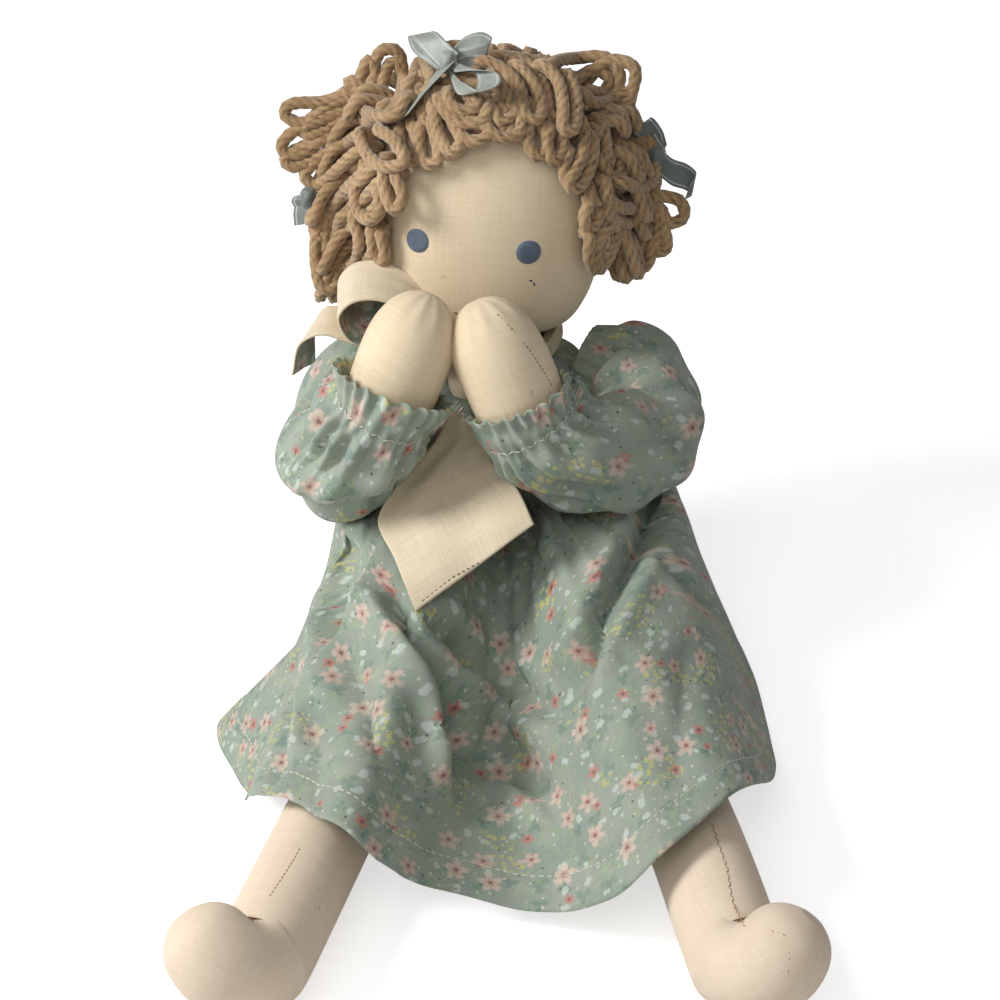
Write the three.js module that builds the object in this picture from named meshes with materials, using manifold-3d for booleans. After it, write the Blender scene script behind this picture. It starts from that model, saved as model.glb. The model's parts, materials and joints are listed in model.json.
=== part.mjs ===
// A cloth rag doll that sits with its legs forward and holds both hands to its mouth.
// Millimetres, +Z up. The doll faces -Y, its own left side is +X, and the origin is the
// middle of the flat seat under its body.
import * as THREE from 'three';
import { mergeVertices } from 'three/addons/utils/BufferGeometryUtils.js';
import Module from 'manifold-3d';

const wasm = await Module();
wasm.setup();

// Driving dimensions of the stuffed body
const torso_height = 121;
const shoulder_share = 0.876;
const waist_share = 0.628;
const torso_width = 94;
const torso_depth = 76;
const lean_angle = 7;
const head_height = 110;
const head_width = 100;
const head_depth = 84;
const head_pitch = -12;
const head_roll = 2.6;
const head_yaw = -8;
const head_aside = 5.5;
const neck_radius = 11;
const neck_ball_radius = 13;
const neck_length = 29;
const neck_shoulder = 7.5;
const leg_length = 275;
const leg_thickness = 43;
const toe_reach = 36.5;
const hip_spacing = 42;
const leg_sink = 0.5;
const left_leg_angle = 15;
const right_leg_angle = 15.5;
const left_leg_bow = 12;
const right_leg_bow = 2;
const left_foot_roll = 42;
const right_foot_roll = 43;
const arm_length = 174;
const arm_thickness = 38;
const shoulder_height = torso_height * shoulder_share;

// Driving dimensions of the cloth and the small pieces
const cover_wall = 1.5;
const clearance = 0.35;
const dress_wall = 1.3;
const ease = 0.6;
const waist_height = torso_height * waist_share;
const skirt_reach = 239;
const skirt_spread = 118;
const skirt_wall = 1.2;
const lap_rise = 5;
const hem_clearance = 0.8;
const pleat_depth = 4.5;
const sleeve_radius = 23.5;
const armhole_radius = 13;
const shoulder_tab = 4.2;
const hip_tab = 3;
const hip_tab_width = 25;
const cuff_frill = 24.5;
const elastic_width = 5;
const elastic_thickness = 1.1;
const scarf_tail_length = 78;
const scarf_thickness = 1.4;
const neckband_width = 68;
const neckband_depth = 53;
const neckband_height = 10;
const neckband_thickness = 7;
const knot_width = 20;
const hair_depth = 13;
const side_hair_depth = 40;
const lock_radius = 8;
const eye_diameter = 9.5;
const eye_spacing = 46;
const eye_height_share = -0.09;
const stitch_thickness = 1.2;
const smile_width = 14;
const ribbon_width = 11;
const ribbon_thickness = 0.9;
const bow_length = 26;
const button_diameter = 9;
const button_thickness = 2.2;

const paint = (hex, roughness) => new THREE.MeshStandardMaterial({ color: hex, roughness, metalness: 0 });
const cotton = paint(0xd9cdb8, 0.9);
const filling = paint(0xf2efe8, 1);
const print = paint(0x93a79f, 0.85);
const linen = paint(0xddd6c6, 0.85);
const yarn = paint(0x8e7455, 0.95);
const satin = paint(0x97a09a, 0.45);
const thread = paint(0x5f7486, 0.6);
const rubber = paint(0xe8e4da, 0.7);
const shell = paint(0xefe9dc, 0.4);

const at = (x, y, z) => new THREE.Vector3(x, y, z);
const turn = THREE.MathUtils.degToRad;
const mix = THREE.MathUtils.lerp;
const smooth = (x, low, high) => THREE.MathUtils.smoothstep(x, low, high);
const group = new THREE.Group();

// Six times the volume that a list of triangles encloses, negative where it faces inwards.
function sixVolumes(points, faces) {
  let sum = 0;
  for (const [a, b, c] of faces) sum += points[a].dot(at(0, 0, 0).crossVectors(points[b], points[c]));
  return sum;
}

function solidFrom(points, faces) {
  const outward = sixVolumes(points, faces) > 0;
  const geometry = new THREE.BufferGeometry().setFromPoints(points);
  geometry.setIndex(faces.flatMap(([a, b, c]) => (outward ? [a, b, c] : [a, c, b])));
  return geometry;
}

const centreOf = (ring) => ring.reduce((sum, p) => sum.add(p), at(0, 0, 0)).divideScalar(ring.length);

// A closed skin through rings of points. It is fanned shut at both ends, or its last ring
// joins its first where it is wound round like a tyre.
function skin(rings, { tyre = false, first = null, last = null } = {}) {
  const count = rings[0].length;
  const points = rings.flat();
  const faces = [];
  const bands = tyre ? rings.length : rings.length - 1;
  for (let i = 0; i < bands; i++) {
    const next = (i + 1) % rings.length;
    for (let j = 0; j < count; j++) {
      const k = (j + 1) % count;
      faces.push([i * count + j, next * count + j, next * count + k]);
      faces.push([i * count + j, next * count + k, i * count + k]);
    }
  }
  if (!tyre) {
    const start = points.push(first ?? centreOf(rings[0])) - 1;
    const end = points.push(last ?? centreOf(rings[rings.length - 1])) - 1;
    const base = (rings.length - 1) * count;
    for (let j = 0; j < count; j++) {
      const k = (j + 1) % count;
      faces.push([start, j, k]);
      faces.push([end, base + k, base + j]);
    }
  }
  return solidFrom(points, faces);
}

// A closed slab between two grids of points that have the same rows and columns.
function slab(front, back) {
  const rows = front.length;
  const columns = front[0].length;
  const points = [...front.flat(), ...back.flat()];
  const far = rows * columns;
  const faces = [];
  const quad = (a, b, c, d) => faces.push([a, b, c], [a, c, d]);
  const spot = (i, j) => i * columns + j;
  for (let i = 0; i + 1 < rows; i++) {
    for (let j = 0; j + 1 < columns; j++) {
      quad(spot(i, j), spot(i + 1, j), spot(i + 1, j + 1), spot(i, j + 1));
      quad(far + spot(i, j), far + spot(i, j + 1), far + spot(i + 1, j + 1), far + spot(i + 1, j));
    }
  }
  const edge = [];
  for (let j = 0; j < columns - 1; j++) edge.push(spot(0, j));
  for (let i = 0; i < rows - 1; i++) edge.push(spot(i, columns - 1));
  for (let j = columns - 1; j > 0; j--) edge.push(spot(rows - 1, j));
  for (let i = rows - 1; i > 0; i--) edge.push(spot(i, 0));
  edge.forEach((a, n) => {
    const b = edge[(n + 1) % edge.length];
    quad(a, b, far + b, far + a);
  });
  return solidFrom(points, faces);
}

// Cloth of one thickness on a grid of points.
function cloth(grid, thickness) {
  const normal = (i, j) => {
    const a = grid[Math.min(i + 1, grid.length - 1)][j].clone().sub(grid[Math.max(i - 1, 0)][j]);
    const row = grid[i];
    const b = row[Math.min(j + 1, row.length - 1)].clone().sub(row[Math.max(j - 1, 0)]);
    return a.cross(b).normalize();
  };
  const side = (sign) =>
    grid.map((row, i) => row.map((p, j) => p.clone().addScaledVector(normal(i, j), (sign * thickness) / 2)));
  return slab(side(1), side(-1));
}

// One ring of a stuffed form: an oval about a centre, a little squared where squareness is over 2.
function oval(centre, u, v, halfU, halfV, sides, squareness = 2) {
  const bent = (c) => Math.sign(c) * Math.abs(c) ** (2 / squareness);
  return Array.from({ length: sides }, (_, n) => {
    const t = (2 * Math.PI * n) / sides;
    return centre
      .clone()
      .addScaledVector(u, halfU * bent(Math.cos(t)))
      .addScaledVector(v, halfV * bent(Math.sin(t)));
  });
}

function solid(geometry) {
  const bare = geometry.clone();
  bare.deleteAttribute('normal');
  bare.deleteAttribute('uv');
  const merged = mergeVertices(bare);
  const vertProperties = Float32Array.from(merged.attributes.position.array);
  const triVerts = Uint32Array.from(merged.index.array);
  return new wasm.Manifold(new wasm.Mesh({ numProp: 3, vertProperties, triVerts }));
}

function geometryOf(manifold) {
  const mesh = manifold.getMesh();
  const geometry = new THREE.BufferGeometry();
  geometry.setAttribute('position', new THREE.BufferAttribute(Float32Array.from(mesh.vertProperties), 3));
  geometry.setIndex(Array.from(mesh.triVerts));
  return geometry;
}

const cut = (body, ...tools) =>
  geometryOf(tools.reduce((rest, tool) => rest.subtract(solid(tool)), solid(body)));
const join = (body, ...others) =>
  geometryOf(others.reduce((sum, other) => sum.add(solid(other)), solid(body)));

// Cutting a loose shape can part small crumbs from it, so the main body is kept.
function mainBody(geometry) {
  const bodies = solid(geometry).decompose();
  return geometryOf(bodies.reduce((best, body) => (body.volume() > best.volume() ? body : best)));
}

function add(name, geometry, material, parent = group) {
  const mesh = new THREE.Mesh(geometry, material);
  mesh.name = name;
  parent.add(mesh);
  return mesh;
}

const AHEAD = at(0, -1, 0);
const SIDEWAYS = at(1, 0, 0);
const UP = at(0, 0, 1);

// The ground that flattens what rests on it.
const floor = new THREE.BoxGeometry(leg_length * 3, leg_length * 3, torso_height);
floor.translate(0, -torso_height, -torso_height / 2);

// Torso: rows of height, half width and half depth as shares of its height, width and depth.
const torso_shares = [
  [0, 0.4, 0.4],
  [0.05, 0.47, 0.47],
  [0.16, 0.5, 0.5],
  [0.34, 0.5, 0.5],
  [0.52, 0.47, 0.455],
  [0.7, 0.465, 0.42],
  [0.84, 0.445, 0.375],
  [0.93, 0.35, 0.31],
];
const neck_hole = neck_ball_radius + clearance + cover_wall;
torso_shares.push([1, neck_hole / torso_width, neck_hole / torso_depth]);
const torso_sides = 22;
const torso_squareness = 2.3;
const lean = (z) => Math.max(z, 0) * Math.tan(turn(lean_angle));

function torsoSize(z) {
  const share = THREE.MathUtils.clamp(z / torso_height, 0, torso_shares[torso_shares.length - 1][0]);
  const row = Math.max(1, torso_shares.findIndex(([s]) => s >= share));
  const [low, high] = [torso_shares[row - 1], torso_shares[row]];
  const t = (share - low[0]) / (high[0] - low[0]);
  return [mix(low[1], high[1], t) * torso_width, mix(low[2], high[2], t) * torso_depth];
}

function torsoRing(z, grow, sides = torso_sides) {
  const [halfWidth, halfDepth] = torsoSize(z);
  const middle = at(0, lean(z), z);
  return oval(middle, SIDEWAYS, AHEAD, halfWidth + grow, halfDepth + grow, sides, torso_squareness);
}

// The place on the torso's outline in a direction, turned from straight ahead.
function aroundOval(angle, halfWidth, halfDepth, squareness) {
  const across = Math.abs(Math.sin(angle) / halfWidth) ** squareness;
  const along = Math.abs(Math.cos(angle) / halfDepth) ** squareness;
  const reach = (across + along) ** (-1 / squareness);
  return at(Math.sin(angle) * reach, -Math.cos(angle) * reach, 0);
}

function aroundTorso(angle, z, grow) {
  const [halfWidth, halfDepth] = torsoSize(z);
  return aroundOval(angle, halfWidth + grow, halfDepth + grow, torso_squareness).add(at(0, lean(z), z));
}

function torsoPieces() {
  const outer = torso_shares.map(([share]) => torsoRing(share * torso_height, 0));
  const inside = [0, 0.05, 0.16, 0.52, 0.84, 1];
  const inner = inside.map((share) => torsoRing(Math.max(share * torso_height, cover_wall), -cover_wall));
  add('torso_cover', skin([...outer, ...inner.reverse()]), cotton);
  const stuffing_shares = [0.05, 0.16, 0.52, 0.84];
  const grow = -cover_wall - clearance;
  add('torso_stuffing', skin(stuffing_shares.map((s) => torsoRing(s * torso_height, grow))), filling);
}
torsoPieces();

// Neck: a stem whose round foot sits in the torso's neck hole and turns there.
const neck_base = at(0, lean(torso_height), torso_height);
const neck_tilt = new THREE.Quaternion().setFromAxisAngle(SIDEWAYS, turn(-lean_angle));
const neck_sides = 16;

function neckPiece() {
  const foot_shares = [-0.94, -0.7, -0.35, 0];
  const around = (share) => neck_ball_radius * Math.sqrt(1 - share * share);
  const ringAt = (z, radius) => oval(at(0, 0, z), SIDEWAYS, AHEAD, radius, radius, neck_sides);
  const foot = foot_shares.map((s) => ringAt(s * neck_ball_radius, around(s)));
  const stem = [neck_shoulder, neck_length].map((z) => ringAt(z, neck_radius));
  const rings = [...foot, ...stem];
  const neck = skin(rings, { first: at(0, 0, -neck_ball_radius) });
  neck.applyQuaternion(neck_tilt).translate(...neck_base.toArray());
  add('neck', neck, cotton);
}
neckPiece();

// Head: rings from its neck hole to the crown, in the head's own upright frame about its middle.
const head_shares = [
  [-0.49, 0.15, 0.18],
  [-0.47, 0.27, 0.3],
  [-0.41, 0.4, 0.41],
  [-0.26, 0.48, 0.475],
  [-0.04, 0.5, 0.5],
  [0.18, 0.485, 0.49],
  [0.34, 0.405, 0.42],
  [0.44, 0.27, 0.29],
  [0.485, 0.14, 0.15],
];
const head_sides = 24;
const head_squareness = 2.15;
const head = new THREE.Group();
const head_hole_share = head_shares[0][0];
const head_lift = neck_shoulder + clearance - head_hole_share * head_height;
const head_middle = neck_base.clone().add(at(-head_aside, head_depth * 0.07, head_lift));
head.position.copy(head_middle);
head.rotation.set(turn(head_pitch), turn(head_roll), turn(head_yaw), 'ZYX');
group.add(head);
head.updateMatrixWorld(true);

function headSize(z) {
  const rows = head_shares;
  const share = THREE.MathUtils.clamp(z / head_height, rows[0][0], rows[rows.length - 1][0]);
  const row = Math.max(1, rows.findIndex(([s]) => s >= share));
  const [low, high] = [rows[row - 1], rows[row]];
  const t = (share - low[0]) / (high[0] - low[0]);
  return [mix(low[1], high[1], t) * head_width, mix(low[2], high[2], t) * head_depth];
}

function headRing(z, grow, sides = head_sides) {
  const [halfWidth, halfDepth] = headSize(z);
  return oval(at(0, 0, z), SIDEWAYS, AHEAD, halfWidth + grow, halfDepth + grow, sides, head_squareness);
}

// The front of the face at a height, and a distance to one side, on the head's own frame.
function facePoint(x, z) {
  const [halfWidth, halfDepth] = headSize(z);
  return at(x, -halfDepth * (1 - Math.abs(x / halfWidth) ** head_squareness) ** (1 / head_squareness), z);
}

function headPieces() {
  const crown = at(0, 0, head_height / 2);
  const outer = head_shares.map(([share]) => headRing(share * head_height, 0));
  const inside = [head_hole_share, -0.41, -0.26, -0.04, 0.34, 0.44];
  const inner = inside.map((share) => headRing(share * head_height, -cover_wall));
  const rings = [...outer.reverse(), ...inner];
  const cover = skin(rings, { first: crown, last: at(0, 0, head_height / 2 - cover_wall) });
  const around = neck_radius + clearance;
  const socket = new THREE.CylinderGeometry(around, around, neck_length * 2, neck_sides);
  socket.rotateX(Math.PI / 2).applyQuaternion(neck_tilt).translate(...neck_base.toArray());
  socket.applyMatrix4(head.matrixWorld.clone().invert());
  add('head_cover', cut(cover, socket), cotton, head);
  const stuffing_shares = [-0.26, -0.04, 0.34, 0.44];
  const grow = -cover_wall - clearance;
  add('head_stuffing', skin(stuffing_shares.map((s) => headRing(s * head_height, grow))), filling, head);
}
headPieces();

// A flat-backed round boss, such as an embroidered eye, standing on the face.
function boss(diameter, thickness) {
  const r = diameter / 2;
  const profile = [[0, 0], [1, 0], [0.96, 0.55], [0.6, 0.92], [0, 1]];
  const geometry = new THREE.LatheGeometry(
    profile.map(([s, h]) => new THREE.Vector2(s * r, h * thickness)),
    14
  );
  return geometry.rotateX(Math.PI);
}

function facePieces() {
  const eye_height = head_height * eye_height_share;
  for (const [name, side] of [['eye_left', 1], ['eye_right', -1]]) {
    const x = (side * eye_spacing) / 2;
    const eye = boss(eye_diameter, stitch_thickness);
    const spot = facePoint(x, eye_height);
    const step = eye_diameter / 4;
    const across = facePoint(x + step, eye_height).sub(facePoint(x - step, eye_height));
    eye.rotateZ(Math.atan2(across.y, across.x));
    const out = at(across.y, -across.x, 0).normalize();
    eye.translate(...spot.addScaledVector(out, 2 * clearance).toArray());
    add(name, eye, thread, head);
  }
  const mouth_height = head_height * (eye_height_share - 0.27);
  const steps = 8;
  const curve = Array.from({ length: steps + 1 }, (_, n) => {
    const t = (2 * n) / steps - 1;
    const lift = smile_width * 0.22 * t * t;
    const spot = facePoint((t * smile_width) / 2, mouth_height + lift);
    return spot.add(at(0, -clearance - stitch_thickness / 2, 0));
  });
  const rings = curve.map((p) => oval(p, AHEAD, UP, stitch_thickness / 2, stitch_thickness / 2, 6));
  add('mouth_stitch', skin(rings), thread, head);
}
facePieces();

// Hair: a cap of wool in five patches, each with the fat loops of yarn that stand out of it.
// A place on the head is a turn about its upright axis, from the face, and a height share.
function hairPoint(angle, share, grow) {
  const z = share * head_height;
  const [halfWidth, halfDepth] = headSize(z);
  const rise = smooth(share, 0.3, 0.5);
  const around = aroundOval(angle, halfWidth + grow, halfDepth + grow, head_squareness);
  return around.add(at(0, 0, z + grow * rise));
}

const lump = (angle, share) =>
  0.5 + 0.5 * Math.sin(angle * 9 + share * 14) * Math.cos(share * 21 - angle * 4);

const fringe_clear_angle = 11;
const hair_gap = 2.4 * clearance;

function hairPatch([from, to], heights, depth, columns) {
  const rows = heights.length - 1;
  const grid = (lift) =>
    heights.map((share, i) =>
      Array.from({ length: columns + 1 }, (_, j) => {
        const clear = fringe_clear_angle * smooth(share, 0.12, 0.24);
        const [first, last] = [from + (from > 0 && to < 180 ? clear : 0), to - (to < 0 ? clear : 0)];
        const angle = turn(mix(first, last, j / columns));
        const edge = Math.min(1, 4 * Math.min(i / rows, j / columns, 1 - j / columns) + 0.45);
        return hairPoint(angle, share, hair_gap + lift * depth * edge * (0.72 + 0.28 * lump(angle, share)));
      })
    );
  return slab(grid(1), grid(0));
}

// A tube of yarn along a curve, thinner towards the ends that go into the cap.
function tube(curve, steps, radius, sides) {
  const rings = Array.from({ length: steps + 1 }, (_, n) => {
    const t = n / steps;
    const along = curve.getTangent(t);
    const side = Math.abs(along.z) > 0.9 ? AHEAD : UP;
    const u = at(0, 0, 0).crossVectors(along, side).normalize();
    const v = at(0, 0, 0).crossVectors(u, along).normalize();
    const r = radius * (0.5 + 0.5 * Math.sin(Math.PI * t));
    return oval(curve.getPoint(t), u, v, r, r, sides);
  });
  return skin(rings);
}

// One fat loop: it leaves the cap at one place, bulges out and comes back at another.
function lock(start, end, bulge) {
  const [a, b] = [start, end].map(([angle, share]) => hairPoint(turn(angle), share, hair_depth * 0.5));
  const middle = a.clone().add(b).multiplyScalar(0.5);
  const out = at(middle.x, middle.y, 0).normalize().multiplyScalar(bulge[0]).add(at(0, 0, bulge[1]));
  return tube(new THREE.QuadraticBezierCurve3(a, middle.add(out.multiplyScalar(2)), b), 5, lock_radius, 5);
}

// Cloth that lies on other pieces is lifted off them, forwards and up, by its own clearance.
const lift_angle = 32;
const off_dress = at(0, -Math.cos(turn(lift_angle)), Math.sin(turn(lift_angle)));

// How far a point has to be lifted to lie a gap above the pieces below it.
function liftOff(point, meshes, gap) {
  const high = point.clone().addScaledVector(off_dress, skirt_reach);
  const ray = new THREE.Raycaster(high, off_dress.clone().negate(), 0, skirt_reach + gap);
  const [hit] = ray.intersectObjects(meshes, false);
  return hit ? skirt_reach + gap - hit.distance : 0;
}

// A strip of cloth along a path, with the direction across it and its width at each point.
// Cloth that lies on other pieces is stiff, so each row of it is lifted as a whole.
function strip(origin, size, rows, steps, columns, thickness, grow = 0, onto = []) {
  const path = new THREE.CatmullRomCurve3(rows.map(([p]) => at(...p)), false, 'centripetal');
  const across = new THREE.CatmullRomCurve3(rows.map(([, a]) => at(...a)), false, 'centripetal');
  const grid = Array.from({ length: steps + 1 }, (_, i) => {
    const t = i / steps;
    const middle = origin.clone().addScaledVector(path.getPoint(t), size);
    const wide = across.getPoint(t).multiplyScalar(size);
    wide.setLength(wide.length() + 2 * grow);
    const spotAt = (j) => middle.clone().addScaledVector(wide, j / columns - 0.5);
    return Array.from({ length: columns + 1 }, (_, j) => spotAt(j));
  });
  const gap = 2.7 * thickness + clearance;
  const lifts = grid.map((row) => Math.max(...row.map((p) => liftOff(p, onto, gap))));
  grid.forEach((row, i) => {
    const lift = Math.max(...lifts.slice(Math.max(i - 1, 0), i + 2));
    for (const p of row) p.addScaledVector(off_dress, lift);
  });
  return cloth(grid, thickness);
}

// Hair ribbons: a knot, loops and tails, joined in one piece and tied into the wool.
function bow(spot, loops, tails, thickness, grow) {
  const rings = [-0.45, -0.2, 0.2, 0.45].map((s) => {
    const middle = spot.clone().add(at(s * ribbon_width, 0, 0));
    const radius = ribbon_width * (0.32 - s * s * 0.6) + grow;
    return oval(middle, AHEAD, UP, radius, radius, 8);
  });
  const tip = at(ribbon_width / 2 + grow, 0, 0);
  const bead = skin(rings, { first: spot.clone().sub(tip), last: spot.clone().add(tip) });
  const parts = loops.map((rows) => strip(spot, bow_length, rows, 8, 1, thickness, grow));
  parts.push(...tails.map((rows) => strip(spot, bow_length, rows, 4, 1, thickness, grow)));
  return join(bead, ...parts);
}

// Each row of a loop or tail is a place from the knot and the reach across the ribbon there,
// as shares of the bow's length.
const wide_share = ribbon_width / bow_length;
const ribbon_shares = {
  ribbon_bow_top: {
    spot: [-32, 0.47, 1.35],
    loops: [
      [
        [[0, 0, 0.1], [0.1, -wide_share, 0]],
        [[-0.45, 0.1, 0.22], [0.1, -wide_share, 0.1]],
        [[-0.85, 0.2, 0.35], [0, -wide_share, 0.1]],
        [[-0.75, 0.2, 0], [0, -wide_share, 0.1]],
        [[0, 0.05, -0.1], [0.1, -wide_share, 0]],
      ],
      [
        [[0, -0.05, 0.1], [0, -wide_share, 0]],
        [[0.6, -0.1, 0.3], [0, -wide_share, 0.1]],
        [[1.05, -0.15, 0], [0, -wide_share, 0.1]],
        [[0.7, -0.1, -0.2], [0, -wide_share, 0.1]],
        [[0, -0.05, -0.1], [0, -wide_share, 0]],
      ],
    ],
    tails: [
      [
        [[0, -0.1, 0], [wide_share / 2, 0, 0]],
        [[-0.4, -0.35, -0.1], [wide_share / 2, 0, 0.1]],
        [[-0.9, -0.55, -0.45], [wide_share / 2, 0, 0.2]],
      ],
    ],
  },
  ribbon_bow_left: {
    spot: [78, 0.3, 1.95],
    loops: [
      [
        [[0, 0, 0.05], [0, -wide_share, 0]],
        [[0.35, 0, 0.45], [0, -wide_share, 0]],
        [[-0.1, 0, 0.75], [0, -wide_share, 0]],
        [[-0.35, 0, 0.35], [0, -wide_share, 0]],
        [[0, 0, -0.05], [0, -wide_share, 0]],
      ],
    ],
    tails: [
      [
        [[0.05, 0, 0], [0, -wide_share, 0]],
        [[0.4, -0.05, -0.3], [0, -wide_share, 0.05]],
        [[0.75, -0.1, -0.8], [0, -wide_share, 0.05]],
      ],
    ],
  },
  ribbon_bow_right: {
    spot: [-80, 0.08, 2],
    loops: [
      [
        [[0, 0, 0.05], [0, -wide_share, 0]],
        [[-0.2, 0, 0.4], [0, -wide_share, 0]],
        [[0.05, 0, 0.65], [0, -wide_share, 0]],
        [[0.25, 0, 0.3], [0, -wide_share, 0]],
        [[0, 0, -0.05], [0, -wide_share, 0]],
      ],
    ],
    tails: [
      [
        [[0, 0, -0.05], [0, -wide_share, 0]],
        [[-0.12, -0.05, -0.35], [0, -wide_share, 0.05]],
        [[-0.1, -0.1, -0.7], [0, -wide_share, 0.05]],
      ],
    ],
  },
};
const bow_rooms = [];
for (const [name, { spot: [angle, share, depth], loops, tails }] of Object.entries(ribbon_shares)) {
  const spot = hairPoint(turn(angle), share, hair_depth * depth);
  add(name, bow(spot, loops, tails, ribbon_thickness, 0), satin, head);
  bow_rooms.push(bow(spot, loops, tails, ribbon_thickness + 2 * clearance, clearance));
}

const reach = side_hair_depth;
const crown_shares = [0.415, 0.455, 0.485];
const hair_shares = {
  hair_fringe: {
    turns: [-61, 61], heights: [0.315, 0.345, 0.38, 0.41], columns: 9,
    locks: [[[-50, 0.38], [-40, 0.3], [0.18, -0.12]], [[-32, 0.39], [-20, 0.32], [0.16, -0.06]],
      [[-12, 0.39], [0, 0.33], [0.16, -0.02]], [[8, 0.39], [22, 0.32], [0.16, -0.04]],
      [[32, 0.38], [48, 0.3], [0.18, -0.1]]],
  },
  hair_side_right: {
    turns: [-122, -54], heights: [-0.3, -0.26, -0.04, 0.18, 0.34, 0.41], columns: 6,
    locks: [[[-80, 0.34], [-94, 0.14], [0.66, 0.04]], [[-74, 0.2], [-80, -0.04], [0.36, -0.02]],
      [[-78, 0.02], [-86, -0.22], [0.36, -0.22]], [[-100, 0.33], [-108, 0.12], [0.34, 0.05]],
      [[-98, 0.12], [-106, -0.12], [0.42, -0.05]], [[-98, -0.06], [-108, -0.28], [0.34, -0.22]]],
  },
  hair_side_left: {
    turns: [54, 122], heights: [-0.3, -0.26, -0.04, 0.18, 0.34, 0.41], columns: 6,
    locks: [[[64, 0.35], [96, 0.34], [0.3, 0.34]], [[74, 0.2], [80, -0.04], [0.32, -0.02]],
      [[78, 0.02], [84, -0.2], [0.3, -0.2]], [[100, 0.33], [108, 0.12], [0.34, 0.05]],
      [[98, 0.12], [106, -0.12], [0.36, -0.05]], [[98, -0.06], [108, -0.28], [0.3, -0.22]]],
  },
  hair_back: {
    turns: [124, 236], heights: [-0.36, -0.26, -0.04, 0.18, 0.34, 0.41], columns: 6,
    locks: [[[142, 0.32], [154, 0.05], [0.2, 0]], [[170, 0.33], [186, 0.02], [0.2, 0]],
      [[203, 0.32], [218, 0.05], [0.2, 0]], [[144, 0], [160, -0.28], [0.18, -0.08]],
      [[176, 0], [190, -0.28], [0.18, -0.08]], [[204, 0], [216, -0.28], [0.18, -0.08]]],
  },
};

// The crown's part of the wool meets the rest on one cone round the head.
function coneFrom(share, upward) {
  const rim = (grow) => Array.from({ length: 18 }, (_, n) => hairPoint((2 * Math.PI * n) / 18, share, grow));
  const far = rim(head_width).map((p) => p.add(at(0, 0, (upward ? 1 : -1) * head_height)));
  return skin([far, rim(head_width), rim(-hair_depth)]);
}

function hairPieces() {
  for (const [name, plan] of Object.entries(hair_shares)) {
    const cap = hairPatch(plan.turns, plan.heights, hair_depth, plan.columns);
    const locks = plan.locks.map(([a, b, [out, up]]) => lock(a, b, [out * reach, up * reach]));
    const cone = coneFrom(crown_shares[0] - clearance / head_height, true);
    add(name, mainBody(cut(join(cap, ...locks), cone, ...bow_rooms)), yarn, head);
  }
}
hairPieces();

// The top of the wool cap is a dome with loops standing on it.
const crown_lock_shares = [
  [[-110, 0.46], [-55, 0.46], [-0.85, -0.1, 0.75]], [[-45, 0.45], [10, 0.46], [-0.1, -0.5, 0.1]],
  [[30, 0.45], [80, 0.46], [0.6, -0.35, 0.15]], [[90, 0.46], [140, 0.46], [0.5, 0.3, 0.15]],
  [[160, 0.46], [215, 0.46], [-0.3, 0.5, 0.15]],
];

function hairCrown() {
  const sides = 22;
  const ringAt = (share, grow) =>
    Array.from({ length: sides }, (_, n) => hairPoint((2 * Math.PI * n) / sides, share, grow));
  const top = (grow) => at(0, 0, head_height / 2 + grow);
  const outer = crown_shares.map((share) => ringAt(share, hair_depth * 0.85)).reverse();
  const inner = crown_shares.map((share) => ringAt(share, hair_gap));
  const cap = skin([...outer, ...inner], { first: top(hair_depth * 0.8), last: top(hair_gap) });
  const locks = crown_lock_shares.map(([from, to, [x, y, z]]) => {
    const [a, b] = [from, to].map(([angle, share]) => hairPoint(turn(angle), share, hair_depth * 0.5));
    const peak = a.clone().add(b).multiplyScalar(0.5).add(at(x, y, z).multiplyScalar(2 * hair_depth));
    return tube(new THREE.QuadraticBezierCurve3(a, peak, b), 5, lock_radius * 0.85, 5);
  });
  const cone = coneFrom(crown_shares[0] + clearance / head_height, false);
  add('hair_crown', mainBody(cut(join(cap, ...locks), cone, ...bow_rooms)), yarn, head);
}
hairCrown();

// Arms: points along each arm from the shoulder seam to the fingertip, as shares of its
// length. The first number goes outward from the body, whichever side the arm is on.
const arm_plan = {
  left: {
    side: 1,
    shares: [[0, 0, 0], [0.07, -0.03, -0.02], [0.11, -0.21, -0.07], [0, -0.36, -0.02],
      [-0.16, -0.43, 0.08], [-0.23, -0.42, 0.23], [-0.3, -0.36, 0.38]],
  },
  right: {
    side: -1,
    shares: [[0, 0, 0], [0.075, -0.03, -0.025], [0.15, -0.25, -0.1], [0.108, -0.37, -0.01],
      [0.025, -0.43, 0.14], [-0.029, -0.4, 0.265], [-0.088, -0.35, 0.39]],
  },
};
const arm_sides = 14;
const sleeve_sides = 18;
const elbow_share = 0.3;
const cuff_share = 0.7;

// Rows of the place along the arm and the half thickness there, as shares of its length and
// thickness.
const upper_arm_shares = [[0, 0.1], [0.04, 0.19], [0.09, 0.26], [0.16, 0.32], [0.22, 0.29], [0.26, 0.16]];
const forearm_shares = [
  [0.34, 0.16], [0.37, 0.28], [0.46, 0.36], [0.56, 0.4], [0.64, 0.42], [0.72, 0.48], [0.8, 0.5], [0.88, 0.48],
  [0.94, 0.38], [0.98, 0.2],
];

function alongRows(rows, share) {
  const n = THREE.MathUtils.clamp(rows.findIndex(([s]) => s >= share), 1, rows.length - 1);
  const t = THREE.MathUtils.clamp((share - rows[n - 1][0]) / (rows[n][0] - rows[n - 1][0]), 0, 1);
  return mix(rows[n - 1][1], rows[n][1], t);
}

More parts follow.
